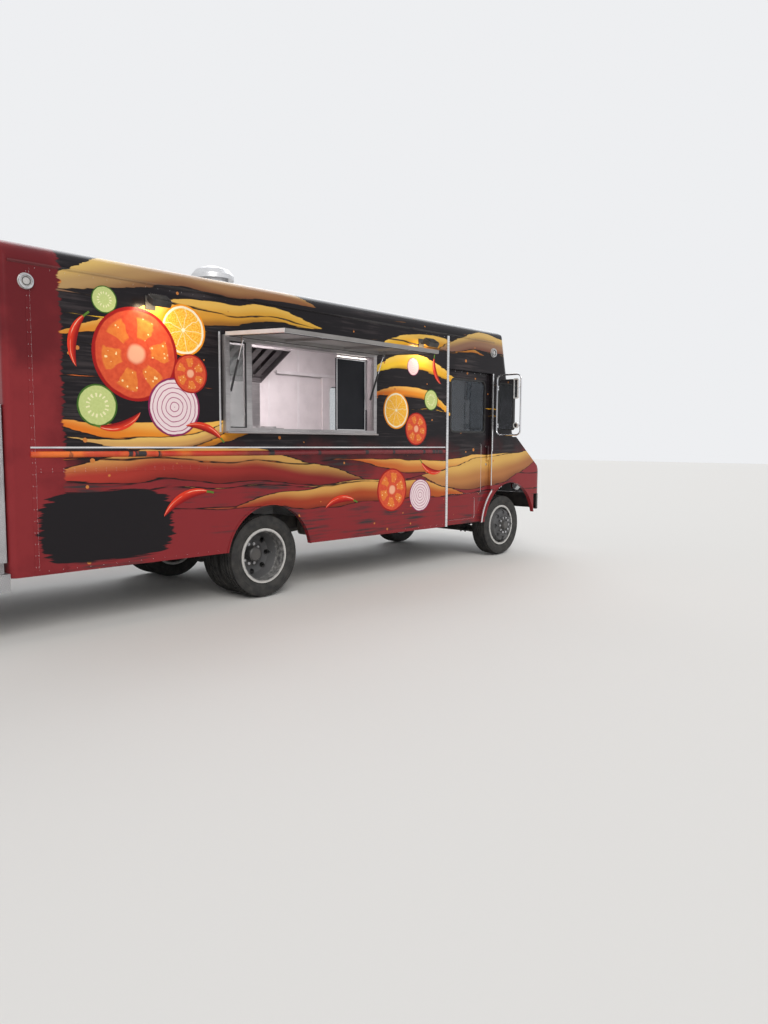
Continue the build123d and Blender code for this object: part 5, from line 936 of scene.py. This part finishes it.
def add_ring(mesh, stand, width, height, corner, border, low, high, segments=6):
    """A flat rounded frame round the stand's middle; without a border it is a plate."""
    made = bmesh.ops.create_grid(mesh, x_segments=1, y_segments=1, size=0.5)["verts"]
    bmesh.ops.scale(mesh, vec=(width, height, 1), verts=made)
    before = set(mesh.faces) - {made[0].link_faces[0]}
    bmesh.ops.bevel(
        mesh, geom=made, offset=corner, offset_type="OFFSET", segments=segments, profile=0.5,
        affect="VERTICES", material=-1,
    )
    flat = [f for f in mesh.faces if f not in before]
    if border:
        rim = bmesh.ops.inset_region(
            mesh, faces=flat, thickness=border, use_even_offset=True, use_boundary=True
        )["faces"]
        bmesh.ops.delete(mesh, geom=flat, context="FACES")
        flat = rim
    grown = bmesh.ops.extrude_face_region(mesh, geom=flat)["geom"]
    top = [g for g in grown if isinstance(g, bmesh.types.BMVert)]
    foot = list({v for f in flat for v in f.verts})
    bmesh.ops.transform(mesh, matrix=stand @ Matrix.Translation((0, 0, high)), verts=top)
    bmesh.ops.transform(mesh, matrix=stand @ Matrix.Translation((0, 0, low)), verts=foot)


def glow_finish(name, tint, strength):
    """A lit lens or tube."""
    finish, tree, shader = new_finish(name)
    shader.inputs["Base Color"].default_value = (*tint, 1)
    shader.inputs["Emission Color"].default_value = (*tint, 1)
    shader.inputs["Emission Strength"].default_value = strength
    return finish


screws, strip, gasket, glow = bmesh.new(), bmesh.new(), bmesh.new(), bmesh.new()
jambs = (window_x[0] + flange, window_x[1] - flange)
sill_and_head = (window_z[0] + flange + screw_lift, window_z[1] - flange)
spots = [(x, z) for x in spaced(*jambs, screw_pitch) for z in sill_and_head]
spots += [(x, z) for x in jambs for z in spaced(window_z[0] + 0.12, window_z[1] - 0.14, jamb_pitch)]
for x, z in spots:
    add_slug(screws, facing((x, frame_face, z), (0, -1, 0)), screw_radius, screw_rise, screw_tip, 10)
for side, start, end, foot, head in cover_table:
    y = sorted((side * half_width, side * (half_width + cover_gauge)))
    add_block(strip, (start, y[0], foot), (end, y[1], head), cover_round)
side_light = facing((-0.3835, -1.140, 2.0135), (0, -1, 0))
add_ring(gasket, side_light, 0.208, 0.770, 0.008, border=0.011, low=-0.004, high=0.010, segments=3)
add_block(glow, glow_low, glow_high, glow_round)
new_piece("frame_screws", screws, bright_steel, "truck")
new_piece("cover_strips", strip, aluminium, "truck", smooth=False)
new_piece("side_light_gasket", gasket, rubber_black, "truck")
new_piece("board_lamp_strip", glow, glow_finish("lamp strip", (1.0, 0.93, 0.86), 2.2), "truck")

# Menu board. A blank panel, black and dull as slate, in a thin bright frame of folded
# aluminium that hangs behind the window.
board = bmesh.new()
board_middle = facing((1.0755, -1.121, 1.996), (0, -1, 0))
add_ring(board, board_middle, 0.415, 0.732, 0.004, border=0.009, low=-0.001, high=0.0065, segments=2)
new_piece("board_frame", board, aluminium, "truck", smooth=False)
board_finish = steel_finish(
    "blank board", (0.007, 0.008, 0.012), (0.017, 0.018, 0.024), (0.3, 0.5), grain=3.0, bump=0.05
)
board_finish.node_tree.nodes["Principled BSDF"].inputs["Specular IOR Level"].default_value = 0.2
coat(board_finish, "menu_board")

# Hatch. Grey painted aluminium sheet on a welded frame with white end caps, edged underneath
# with a bright angle and a rubber bulb seal, with two low turn latches near its free edge.
hatch_stand = Matrix.Translation(at(0, -1.200, 2.430)) @ Matrix.Rotation(radians(-86.6), 4, "X")
hatch_ends, hatch_depth = (-0.545, 1.408), (0.012, 0.825)
cap_lap, cap_proud, cap_y, cap_z, cap_round = 0.0005, 0.003, (-0.0345, -0.0005), (-0.824, -0.013), 0.001
latch_places, latch_reach, fixing_inset, fixing_pitch = (-0.12, 0.98), 0.806, 0.05, 0.145
hatch_paint = steel_finish(
    "hatch skin", (0.21, 0.20, 0.196), (0.26, 0.248, 0.242), (0.4, 0.55), grain=5.0, bump=0.06
)
white_enamel = steel_finish(
    "white enamel", (0.74, 0.73, 0.73), (0.84, 0.83, 0.83), (0.25, 0.4), grain=6.0, bump=0.03
)


def on_hatch(x, out, reach, turn=-90):
    """A stand on the hatch: along it, out of its lower face and away from its hinge."""
    return hatch_stand @ Matrix.Translation((x, out, -reach)) @ Matrix.Rotation(radians(turn), 4, "X")


coat(hatch_paint, "hatch")
coat(white_enamel, "door_tracks")
edging, seal, latches, fixings, caps = (bmesh.new() for i in range(5))
rear_cap = (hatch_ends[0] - cap_proud, hatch_ends[0] + cap_lap)
front_cap = (hatch_ends[1] - cap_lap, hatch_ends[1] + cap_proud)
for x in (rear_cap, front_cap):
    add_block(caps, (x[0], cap_y[0], cap_z[0]), (x[1], cap_y[1], cap_z[1]), cap_round, hatch_stand)
new_piece("hatch_end_caps", caps, white_enamel, "hatch", smooth=False)
over = on_hatch(sum(hatch_ends) / 2, 0, sum(hatch_depth) / 2)
wide, deep = hatch_ends[1] - hatch_ends[0], hatch_depth[1] - hatch_depth[0]
add_ring(edging, over, wide - 0.002, deep - 0.002, 0.004, border=0.015, low=-0.001, high=0.0018, segments=2)
add_ring(seal, over, wide - 0.034, deep - 0.036, 0.020, border=0.010, low=-0.001, high=0.0055, segments=4)
for x in latch_places:
    stand = on_hatch(x, 0, latch_reach)
    add_ring(latches, stand, 0.062, 0.016, 0.005, border=0, low=-0.001, high=0.003, segments=3)
    add_slug(latches, stand, 0.0065, 0.0062, 0.0055, 14, 0.001)
for x in spaced(hatch_ends[0] + fixing_inset, hatch_ends[1] - fixing_inset, fixing_pitch):
    for reach in (hatch_depth[0] + 0.010, hatch_depth[1] - 0.0085):
        add_slug(fixings, on_hatch(x, 0.0018, reach), 0.0036, 0.0014, 0.002, 8)
    add_slug(fixings, on_hatch(x, -0.035, hatch_depth[1] - 0.016, turn=90), 0.0045, 0.0018, 0.0025, 8)
new_piece("hatch_edging", edging, bright_steel, "hatch", smooth=False)
new_piece("hatch_seal", seal, rubber_black, "hatch")
new_piece("hatch_latches", latches, bright_steel, "hatch")
new_piece("hatch_rivets", fixings, bright_steel, "hatch")

# Glass. Toughened clear panes in front, at the side and in the tail, one in the kerb-side door
# tinted near black as painted shade of the dark cab behind it and a lightly tinted one in the
# driver's, each held in a black rubber channel that laps the sheet round it.
screen_foot = Vector((4.150, 0, 1.590))
screen_out, screen_up = Vector((0.97467, 0, 0.22355)), Vector((-0.22355, 0, 0.97467))
pane_rise, pane_off, door_face, tail_face = 0.485, 0.479, 1.093, -2.390
door_lock, door_rivets, door_rivet_z, tail_lock_y = (3.536, 1.232), (2.74, 3.52, 0.13), 2.372, 0.254


def glass_finish(name, tint):
    """Clear or tinted glass, with faint smears in its gloss."""
    finish, tree, shader = new_finish(name)
    shader.inputs["Base Color"].default_value = (*tint, 1)
    shader.inputs["Transmission Weight"].default_value = 0.92
    shader.inputs["IOR"].default_value = 1.45
    smear = cloud_of(tree, add(tree, "ShaderNodeTexCoord").outputs["Object"], 6, 6)
    tree.links.new(work(tree, "MULTIPLY", smear, 0.08), shader.inputs["Roughness"])
    return finish


coat(glass_finish("clear glass", (0.86, 0.9, 0.89)), "fixed_glass", "rear_door_glass")
# The kerb-side door glass is tinted near black as painted shade of the dark cab behind it.
coat(glass_finish("door glass with painted shade", (0.055, 0.06, 0.07)), "door_glass_right")
coat(glass_finish("tinted glass", (0.62, 0.64, 0.65)), "door_glass_left")
gasket = bmesh.new()
for side, name in sides:
    spot = screen_foot + screen_up * pane_rise + Vector((0, side * pane_off, 0))
    add_ring(gasket, facing(spot, screen_out), 0.920, 0.848, 0.054, border=0.019, low=-0.0165, high=0.0085)
new_piece("windscreen_gaskets", gasket, rubber_black, "truck")
for side, name in sides:
    gasket, fittings = bmesh.new(), bmesh.new()
    pane = facing((3.140, side * door_face, 1.961), (0, side, 0))
    add_ring(gasket, pane, 0.720, 0.662, 0.070, border=0.022, low=-0.0115, high=0.0028)
    plate = facing((door_lock[0], side * door_face, door_lock[1]), (0, side, 0))
    barrel = facing((door_lock[0], side * (door_face + 0.0025), door_lock[1]), (0, side, 0))
    add_slug(fittings, plate, 0.0165, 0.0026, 0.0150, 24)
    add_slug(fittings, barrel, 0.0095, 0.0018, 0.0085, 20)
    for x in spaced(*door_rivets):
        stand = facing((x, side * door_face, door_rivet_z), (0, side, 0))
        add_slug(fittings, stand, rivet_radius, rivet_rise, rivet_tip, rivet_sides)
    new_piece(f"door_gasket_{name}", gasket, rubber_black, f"door_{name}")
    new_piece(f"door_fittings_{name}", fittings, bright_steel, f"door_{name}")
gasket, fittings = bmesh.new(), bmesh.new()
pane = facing((tail_face, 0.530, 2.015), (-1, 0, 0))
add_ring(gasket, pane, 0.488, 0.650, 0.058, border=0.021, low=-0.0165, high=0.0035)
add_slug(fittings, facing((tail_face, tail_lock_y, 1.200), (-1, 0, 0)), 0.016, 0.003, 0.0145, 24)
for z in (1.300, 1.460):
    add_slug(fittings, facing((tail_face, tail_lock_y, z), (-1, 0, 0)), 0.0175, 0.0025, 0.0165, 20)
new_piece("rear_door_gasket", gasket, rubber_black, "rear_door")
new_piece("rear_door_fittings", fittings, bright_steel, "rear_door")

# Wipers. Two black pressed arms from the cowl, each with its rubber blade at rest low on its
# own pane, in from the middle of the screen.
wipers = bmesh.new()
wiper_places, blade_rise, blade_ends, claw_places = (0.62, -0.20), 0.122, (0.08, 0.52), (0.14, 0.31, 0.46)


def on_screen(y, rise, out):
    """A point over the windscreen: across it, up its slope and out of its face."""
    return screen_foot + screen_up * rise + screen_out * out + Vector((0, y, 0))


for start in wiper_places:
    add_slug(wipers, facing(on_screen(start, 0.050, 0.0), screen_out), 0.019, 0.020, 0.015, 18, 0.003)
    arm = ((0.0, 0.050, 0.020), (0.17, 0.085, 0.030), (0.31, blade_rise, 0.020))
    add_tube(wipers, [on_screen(start - along, rise, out) for along, rise, out in arm], 0.005, 0.04, 8)
    for out, thick in ((0.011, 0.0045), (-0.0035, 0.0022)):
        add_tube(wipers, [on_screen(start - end, blade_rise, out) for end in blade_ends], thick, 0, 8)
    for end in claw_places:
        add_tube(wipers, [on_screen(start - end, blade_rise, out) for out in (0.012, -0.004)], 0.003, 0, 8)
new_piece("wipers", wipers, chassis_black, "truck")

# Tread plate. Aluminium plate rolled with crossed lozenges, on the tail deck, the gas locker
# and the floors; the locker's lid has a bright lock, and the deck's edge a row of bolts.
def tread_finish(name, dark, light):
    """Metal with raised lozenges crossed at right angles and stained between them."""
    finish, tree, shader = new_finish(name)
    place = add(tree, "ShaderNodeTexCoord").outputs["Object"]
    lozenges = None
    for angle in (45, -45):
        turned = add(tree, "ShaderNodeMapping")
        turned.inputs["Rotation"].default_value = (radians(angle), radians(angle), radians(angle))
        turned.inputs["Scale"].default_value = (34, 34, 34)
        tree.links.new(place, turned.inputs["Vector"])
        squashed = add(tree, "ShaderNodeMapping")
        squashed.inputs["Scale"].default_value = (1, 2.2, 1)
        tree.links.new(turned.outputs["Vector"], squashed.inputs["Vector"])
        cells = add(tree, "ShaderNodeTexVoronoi", feature="F1")
        cells.inputs["Randomness"].default_value = 0.0
        tree.links.new(squashed.outputs["Vector"], cells.inputs["Vector"])
        bar = work(tree, "SUBTRACT", 1, soft_step(tree, cells.outputs["Distance"], 0.22, 0.4))
        lozenges = bar if lozenges is None else work(tree, "MAXIMUM", lozenges, bar)
    stain = cloud_of(tree, place, 4, 6)
    tone = work(tree, "MULTIPLY_ADD", lozenges, 0.45, work(tree, "MULTIPLY", stain, 0.7))
    shade = soft_step(tree, tone, 0.2, 0.8)
    tree.links.new(blend_colour(tree, shade, dark, light), shader.inputs["Base Color"])
    tree.links.new(work(tree, "MULTIPLY_ADD", stain, 0.3, 0.22), shader.inputs["Roughness"])
    relief = add(tree, "ShaderNodeBump")
    relief.inputs["Strength"].default_value = 0.7
    relief.inputs["Distance"].default_value = 0.003
    tree.links.new(lozenges, relief.inputs["Height"])
    tree.links.new(relief.outputs["Normal"], shader.inputs["Normal"])
    shader.inputs["Metallic"].default_value = 0.85
    return finish


bolt_run, lid_run = (-1.04, 1.04, 0.26), (0.70, 1.68, 0.14)
tread_plate = tread_finish("tread plate", (0.34, 0.34, 0.35), (0.66, 0.66, 0.67))
coat(tread_plate, "rear_deck", "gas_locker", "locker_door", "floor_deck")
bolts, lid_lock = bmesh.new(), bmesh.new()
for y in spaced(*bolt_run):
    add_slug(bolts, facing((-2.850, y, 0.500), (-1, 0, 0)), 0.009, 0.006, 0.0075, 6)
add_slug(lid_lock, facing((-2.854, -0.166, 1.2105), (-1, 0, 0)), 0.011, 0.003, 0.010, 20)
for z in spaced(*lid_run):
    add_slug(lid_lock, facing((-2.840, -0.158, z), (-1, 0, 0)), 0.005, 0.002, 0.0028, 8)
new_piece("deck_bolts", bolts, bright_steel, "truck")
new_piece("locker_lid_lock", lid_lock, bright_steel, "locker_door")

# Lamps. Round sealed head lamps in chromed bezels, clear side lamps in bright rims, amber and
# red markers, and two black flood lamps whose warm light falls on the wall and on the ground.
head_lamp_x, head_lamp_y, head_lamp_z = 4.870, 0.690, 0.898
side_lamp_places, side_lamp_z = (-2.216, 3.587), 2.648
flood_places, flood_y, flood_z, flood_tilt = (-1.227, 2.171), -1.290, 2.624, radians(32)
flood_power, flood_tint, flood_size, flood_drop = 1.6, (1.0, 0.76, 0.48), (0.14, 0.08), 0.032
lamp_white = steel_finish(
    "lamp body", (0.55, 0.55, 0.54), (0.74, 0.74, 0.72), (0.15, 0.3), grain=25.0, bump=0.05
)
chrome = steel_finish(
    "chromed tube", (0.62, 0.62, 0.64), (0.78, 0.78, 0.8), (0.08, 0.16), grain=10.0, bump=0.02, metal=1.0
)
coat(chassis_black, "flood_lamps")


def lens_facets(tree, shader, scale):
    """The small prisms of a moulded lens, in its relief and gloss."""
    facets = add(tree, "ShaderNodeTexVoronoi", feature="F1")
    facets.inputs["Scale"].default_value = scale
    facets.inputs["Randomness"].default_value = 0.0
    tree.links.new(add(tree, "ShaderNodeTexCoord").outputs["Object"], facets.inputs["Vector"])
    relief = add(tree, "ShaderNodeBump")
    relief.inputs["Strength"].default_value = 0.4
    relief.inputs["Distance"].default_value = 0.001
    tree.links.new(facets.outputs["Distance"], relief.inputs["Height"])
    tree.links.new(relief.outputs["Normal"], shader.inputs["Normal"])
    gloss = work(tree, "MULTIPLY_ADD", facets.outputs["Distance"], 0.1, 0.06)
    tree.links.new(gloss, shader.inputs["Roughness"])
    shader.inputs["Coat Weight"].default_value = 0.5


def marker_finish():
    """Red lenses at the tail, clear ones along the sides, amber ones in front."""
    finish, tree, shader = new_finish("marker lens")
    split = add(tree, "ShaderNodeSeparateXYZ")
    tree.links.new(add(tree, "ShaderNodeTexCoord").outputs["Object"], split.inputs[0])
    along = work(tree, "SUBTRACT", split.outputs["X"], rear_hub.x)
    red, clear, amber = (0.5, 0.01, 0.012), (0.46, 0.45, 0.44), (0.8, 0.25, 0.01)
    behind = blend_colour(tree, soft_step(tree, along, -2.36, -2.35), red, clear)
    colour = blend_colour(tree, soft_step(tree, along, 3.68, 3.70), behind, amber)
    tree.links.new(colour, shader.inputs["Base Color"])
    lens_facets(tree, shader, 160)
    return finish


def head_lamp_finish():
    """A chromed bezel round a fluted clear lens, told apart by the reach from the middle."""
    finish, tree, shader = new_finish("head lamp")
    split = add(tree, "ShaderNodeSeparateXYZ")
    tree.links.new(add(tree, "ShaderNodeTexCoord").outputs["Object"], split.inputs[0])
    off_middle = work(tree, "ABSOLUTE", work(tree, "SUBTRACT", split.outputs["Y"], middle_y))
    out = work(tree, "SUBTRACT", off_middle, head_lamp_y)
    rise = work(tree, "SUBTRACT", split.outputs["Z"], head_lamp_z)
    squares = work(tree, "ADD", work(tree, "MULTIPLY", out, out), work(tree, "MULTIPLY", rise, rise))
    reach = work(tree, "SQRT", squares)
    bezel = soft_step(tree, reach, 0.0745, 0.0755)
    flutes = work(tree, "ABSOLUTE", work(tree, "SINE", work(tree, "MULTIPLY", out, 420)))
    lens = blend_colour(tree, flutes, (0.60, 0.64, 0.66), (0.90, 0.92, 0.93))
    tree.links.new(blend_colour(tree, bezel, lens, (0.75, 0.75, 0.77)), shader.inputs["Base Color"])
    tree.links.new(work(tree, "MULTIPLY_ADD", bezel, 0.5, 0.5), shader.inputs["Metallic"])
    lens_facets(tree, shader, 70)
    return finish


coat(marker_finish(), "marker_lamps")
coat(head_lamp_finish(), "head_lamps")
lenses, bezels, lamp_rims = bmesh.new(), bmesh.new(), bmesh.new()
for side, name in sides:
    for x in side_lamp_places:
        stand = facing((x, side * half_width, side_lamp_z), (0, side, 0))
        add_ring(lamp_rims, stand, 0.106, 0.106, 0.0528, border=0.011, low=0.008, high=0.0205, segments=10)
        add_ring(bezels, stand, 0.062, 0.062, 0.0308, border=0.004, low=0.008, high=0.0192, segments=8)
    stand = facing((head_lamp_x, side * head_lamp_y, head_lamp_z), (1, 0, 0))
    add_ring(lamp_rims, stand, 0.196, 0.196, 0.0978, border=0.006, low=-0.001, high=0.004, segments=12)
for x in flood_places:
    head = Matrix.Translation(at(x, flood_y, flood_z)) @ Matrix.Rotation(flood_tilt, 4, "X")
    below = head @ Matrix.Rotation(pi, 4, "X")
    add_ring(lenses, below, 0.146, 0.086, 0.008, border=0, low=0.0215, high=0.0255, segments=3)
    add_ring(bezels, below, 0.160, 0.100, 0.012, border=0.009, low=0.0215, high=0.0285, segments=4)
    light_data = bpy.data.lights.new("flood light", "AREA")
    light_data.shape, (light_data.size, light_data.size_y) = "RECTANGLE", flood_size
    light_data.energy, light_data.color = flood_power, flood_tint
    flood_light = bpy.data.objects.new("flood light", light_data)
    flood_light.matrix_world = head @ Matrix.Translation((0, 0, -flood_drop))
    bpy.context.collection.objects.link(flood_light)
new_piece("lamp_rims", lamp_rims, bright_steel, "truck")
flood_glow = glow_finish("flood lens", (1.0, 0.84, 0.60), 3.0)
new_piece("flood_lenses", lenses, flood_glow, "truck", smooth=False)
new_piece("lamp_bezels", bezels, rubber_black, "truck")

# Mirrors. Chromed tube loops that carry a black moulded head with a flat glass, a round
# wide-angle one below and a tall narrow one beside it in pale rims, all turned to the driver.
def mirror_finish():
    """Chromed tube, but for the moulded heads, told apart by their place in the loop."""
    finish, tree, shader = new_finish("mirror loops")
    split = add(tree, "ShaderNodeSeparateXYZ")
    tree.links.new(add(tree, "ShaderNodeTexCoord").outputs["Object"], split.inputs[0])
    out = work(tree, "ABSOLUTE", work(tree, "SUBTRACT", split.outputs["Y"], middle_y))
    across = band(tree, out, 1.197, 1.427, 0.0005)
    head = work(tree, "MULTIPLY", across, band(tree, split.outputs["Z"], 1.666, 2.314, 0.0005))
    colour = blend_colour(tree, head, (0.76, 0.76, 0.78), (0.022, 0.022, 0.023))
    tree.links.new(colour, shader.inputs["Base Color"])
    tree.links.new(work(tree, "SUBTRACT", 1, head), shader.inputs["Metallic"])
    tree.links.new(work(tree, "MULTIPLY_ADD", head, 0.34, 0.11), shader.inputs["Roughness"])
    return finish


mirror_x = 3.644
coat(mirror_finish(), "mirrors")
coat(chrome, "strut_rods")
silvered = steel_finish(
    "silvered glass", (0.40, 0.41, 0.42), (0.46, 0.47, 0.48), (0.02, 0.05), grain=3.0, bump=0.0, metal=1.0
)
glasses, rims, bright_rims = bmesh.new(), bmesh.new(), bmesh.new()
for side, name in sides:
    flat = facing((mirror_x, side * 1.312, 1.990), (-1, 0, 0))
    tall = facing((3.650, side * 1.458, 2.190), (-1, 0, 0))
    by_tall = facing((mirror_x, side * 1.452, 2.190), (-1, 0, 0))
    round_one = facing((mirror_x, side * 1.460, 1.730), (-1, 0, 0))
    add_ring(glasses, flat, 0.206, 0.622, 0.018, border=0, low=-0.001, high=0.0016, segments=5)
    add_ring(rims, flat, 0.222, 0.638, 0.024, border=0.010, low=-0.001, high=0.0045, segments=6)
    add_ring(glasses, tall, 0.040, 0.222, 0.012, border=0, low=-0.001, high=0.0016, segments=4)
    add_ring(bright_rims, by_tall, 0.078, 0.254, 0.020, border=0.014, low=-0.007, high=0.0045, segments=4)
    add_slug(glasses, round_one, 0.0285, 0.004, 0.012, 28)
    add_ring(bright_rims, round_one, 0.076, 0.076, 0.0378, border=0.012, low=-0.001, high=0.0045, segments=8)
new_piece("mirror_glasses", glasses, silvered, "truck")
new_piece("mirror_rims", rims, rubber_black, "truck")
new_piece("mirror_bright_rims", bright_rims, lamp_white, "truck")

# Kitchen. Brushed stainless plate for counter, cook line and refrigerator, darker steel for the
# hood whose darkness is painted shade, two lighting battens on the white ceiling, and cover strips
# over the joints of the lining sheets.
batten_places, batten_half, lining_joints = (-0.9, 1.5), (0.60, 0.035), (-1.25, 1.75, 2.25)
lining_face, joint_half, joint_gauge, joint_top, along_plate = 1.1002, 0.018, 0.0027, 2.76, (5, 240, 240)
stainless = brushed_finish(
    "brushed stainless", (0.48, 0.48, 0.48), (0.68, 0.68, 0.67), (0.2, 0.42), along_plate
)
# The hood's steel is darkened as painted shade.
shaded_hood_steel = brushed_finish(
    "hood steel", (0.15, 0.145, 0.145), (0.26, 0.25, 0.25), (0.4, 0.6), along_plate
)
coat(stainless, "service_counter", "cook_line", "refrigerator")
coat(shaded_hood_steel, "range_hood")
trays, tubes, joints = bmesh.new(), bmesh.new(), bmesh.new()
half_x, half_y = batten_half
tube_x, tube_y = half_x - 0.02, half_y - 0.012
for x in batten_places:
    add_block(trays, (x - half_x, -half_y, 2.888), (x + half_x, half_y, 2.9005), 0.003)
    add_block(tubes, (x - tube_x, -tube_y, 2.878), (x + tube_x, tube_y, 2.889), 0.004)
for x in lining_joints:
    for side, low in ((driver, 1.70), (kerb, 0.90)):
        if side == driver or x < -1 or x > 2:
            y = sorted((side * lining_face, side * (lining_face - joint_gauge)))
            add_block(joints, (x - joint_half, y[0], low), (x + joint_half, y[1], joint_top), cover_round)
for x in spaced(-1.8, 2.4, 0.6):
    add_block(joints, (x - joint_half, -0.96, 2.8975), (x + joint_half, 0.42, 2.9003), cover_round)
new_piece("ceiling_battens", trays, white_enamel, "truck", smooth=False)
tube_glow = glow_finish("ceiling lamp", (1.0, 0.97, 0.95), 3.0)
new_piece("ceiling_lamp_tubes", tubes, tube_glow, "truck", smooth=False)
new_piece("lining_joint_strips", joints, white_enamel, "truck", smooth=False)

# Cab. Black moulded dash, engine cover and steering wheel, with two round gauges and a row of
# rocker switches before the driver.
matte_black = steel_finish(
    "black moulding", (0.014, 0.014, 0.015), (0.03, 0.03, 0.032), (0.4, 0.6), grain=20.0, bump=0.2
)
coat(matte_black, "dash", "engine_cover", "steering_wheel", "grille", "strut_tubes")

# Driver's seat. Two foam pads in black woven cloth, sewn with a round piping along the edges
# and drawn in by stitched channels across, lying on the pedestal and against the back frame.
seat_cloth = steel_finish(
    "seat cloth", (0.02, 0.02, 0.022), (0.05, 0.05, 0.055), (0.75, 0.95), grain=60.0, bump=0.6
)
voxel, swell_cap, frames, pad_round = 0.007, 0.020, 20, 0.022
channel_half, channel_depth, piping_radius, piping_steps = 0.022, 0.009, 0.0035, 40
pad_table = (
    # name, middle of the foot, tilt back in degrees, low corner, high corner, channels across
    (
        "seat_pan_pad", (3.190, 0.515, 1.1805), 0,
        (-0.220, -0.185, 0.0), (0.222, 0.185, 0.092), (-0.09, 0.06),
    ),
    (
        "backrest_pad", (2.9575, 0.515, 1.296), -4.2,
        (-0.038, -0.180, 0.0), (0.038, 0.180, 0.672), (0.17, 0.34, 0.51),
    ),
)


def squared_circle(angle):
    """A point of a closed curve between a circle and a square."""
    return tuple(copysign(abs(part) ** 0.3, part) for part in (cos(angle), sin(angle)))


def swollen(piece):
    """The piece's mesh after a short soft-body run with air pressed into it."""
    cloth = piece.modifiers.new("cloth", "CLOTH")
    cloth.settings.quality = 6
    cloth.settings.use_pressure = True
    cloth.settings.uniform_pressure_force = 4
    cloth.settings.effector_weights.gravity = 0
    cloth.point_cache.frame_end = frames
    scene = bpy.context.scene
    for frame_number in range(1, frames + 1):
        scene.frame_set(frame_number)
    puffed = bpy.data.meshes.new_from_object(piece.evaluated_get(bpy.context.evaluated_depsgraph_get()))
    piece.modifiers.remove(cloth)
    scene.frame_set(1)
    return puffed


for name, foot, tilt, low, high, channels in pad_table:
    stand = Matrix.Translation(at(*foot)) @ Matrix.Rotation(radians(tilt), 4, "Y")
    mesh = bmesh.new()
    add_block(mesh, low, high, pad_round, stand)
    pad = new_piece(name, mesh, seat_cloth, "truck")
    remesh = pad.modifiers.new("voxels", "REMESH")
    remesh.mode, remesh.voxel_size = "VOXEL", voxel
    fine = bpy.data.meshes.new_from_object(pad.evaluated_get(bpy.context.evaluated_depsgraph_get()))
    pad.modifiers.remove(remesh)
    coarse, pad.data = pad.data, fine
    bpy.data.meshes.remove(coarse)
    rest = [v.co.copy() for v in fine.vertices]
    puffed = swollen(pad)
    for vertex, start, moved in zip(fine.vertices, rest, puffed.vertices):
        step = moved.co - start
        vertex.co = start + step * min(1, swell_cap / max(step.length, 1e-6))
    bpy.data.meshes.remove(puffed)
    back = stand.inverted()
    long_axis = 0 if name == "seat_pan_pad" else 2
    for vertex in fine.vertices:
        spot = back @ vertex.co
        for line in channels:
            away = abs(spot[long_axis] - line)
            if away < channel_half:
                dip = channel_depth * (1 - away / channel_half) ** 2
                if long_axis == 0 and spot.z > 0.05:
                    spot.z -= dip
                elif long_axis == 2 and spot.x > 0.01:
                    spot.x -= dip
        if long_axis == 0:
            spot.z = max(spot.z, 0.0)
        vertex.co = stand @ spot
    fine.materials.clear()
    fine.materials.append(seat_cloth)
    fine.shade_smooth()
    surface = bmesh.new()
    surface.from_mesh(fine)
    tree_of_faces = BVHTree.FromBMesh(surface)
    surface.free()
    piping, edge = bmesh.new(), []
    for turn in range(piping_steps):
        u, v = squared_circle(2 * pi * turn / piping_steps)
        if long_axis == 0:
            spot = Vector((u * (high[0] - low[0]) / 2, v * (high[1] - low[1]) / 2, high[2] - 0.012))
        else:
            rise = (low[2] + high[2]) / 2 + v * (high[2] - low[2]) / 2
            spot = Vector((high[0] - 0.010, u * (high[1] - low[1]) / 2, rise))
        found = tree_of_faces.find_nearest(stand @ spot)[0]
        edge.append(found - at(0, 0, 0))
    add_tube(piping, [*edge, edge[0]], piping_radius, 0, 6)
    new_piece(f"{name}_piping", piping, matte_black, "truck")
    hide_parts("seat_cushions")
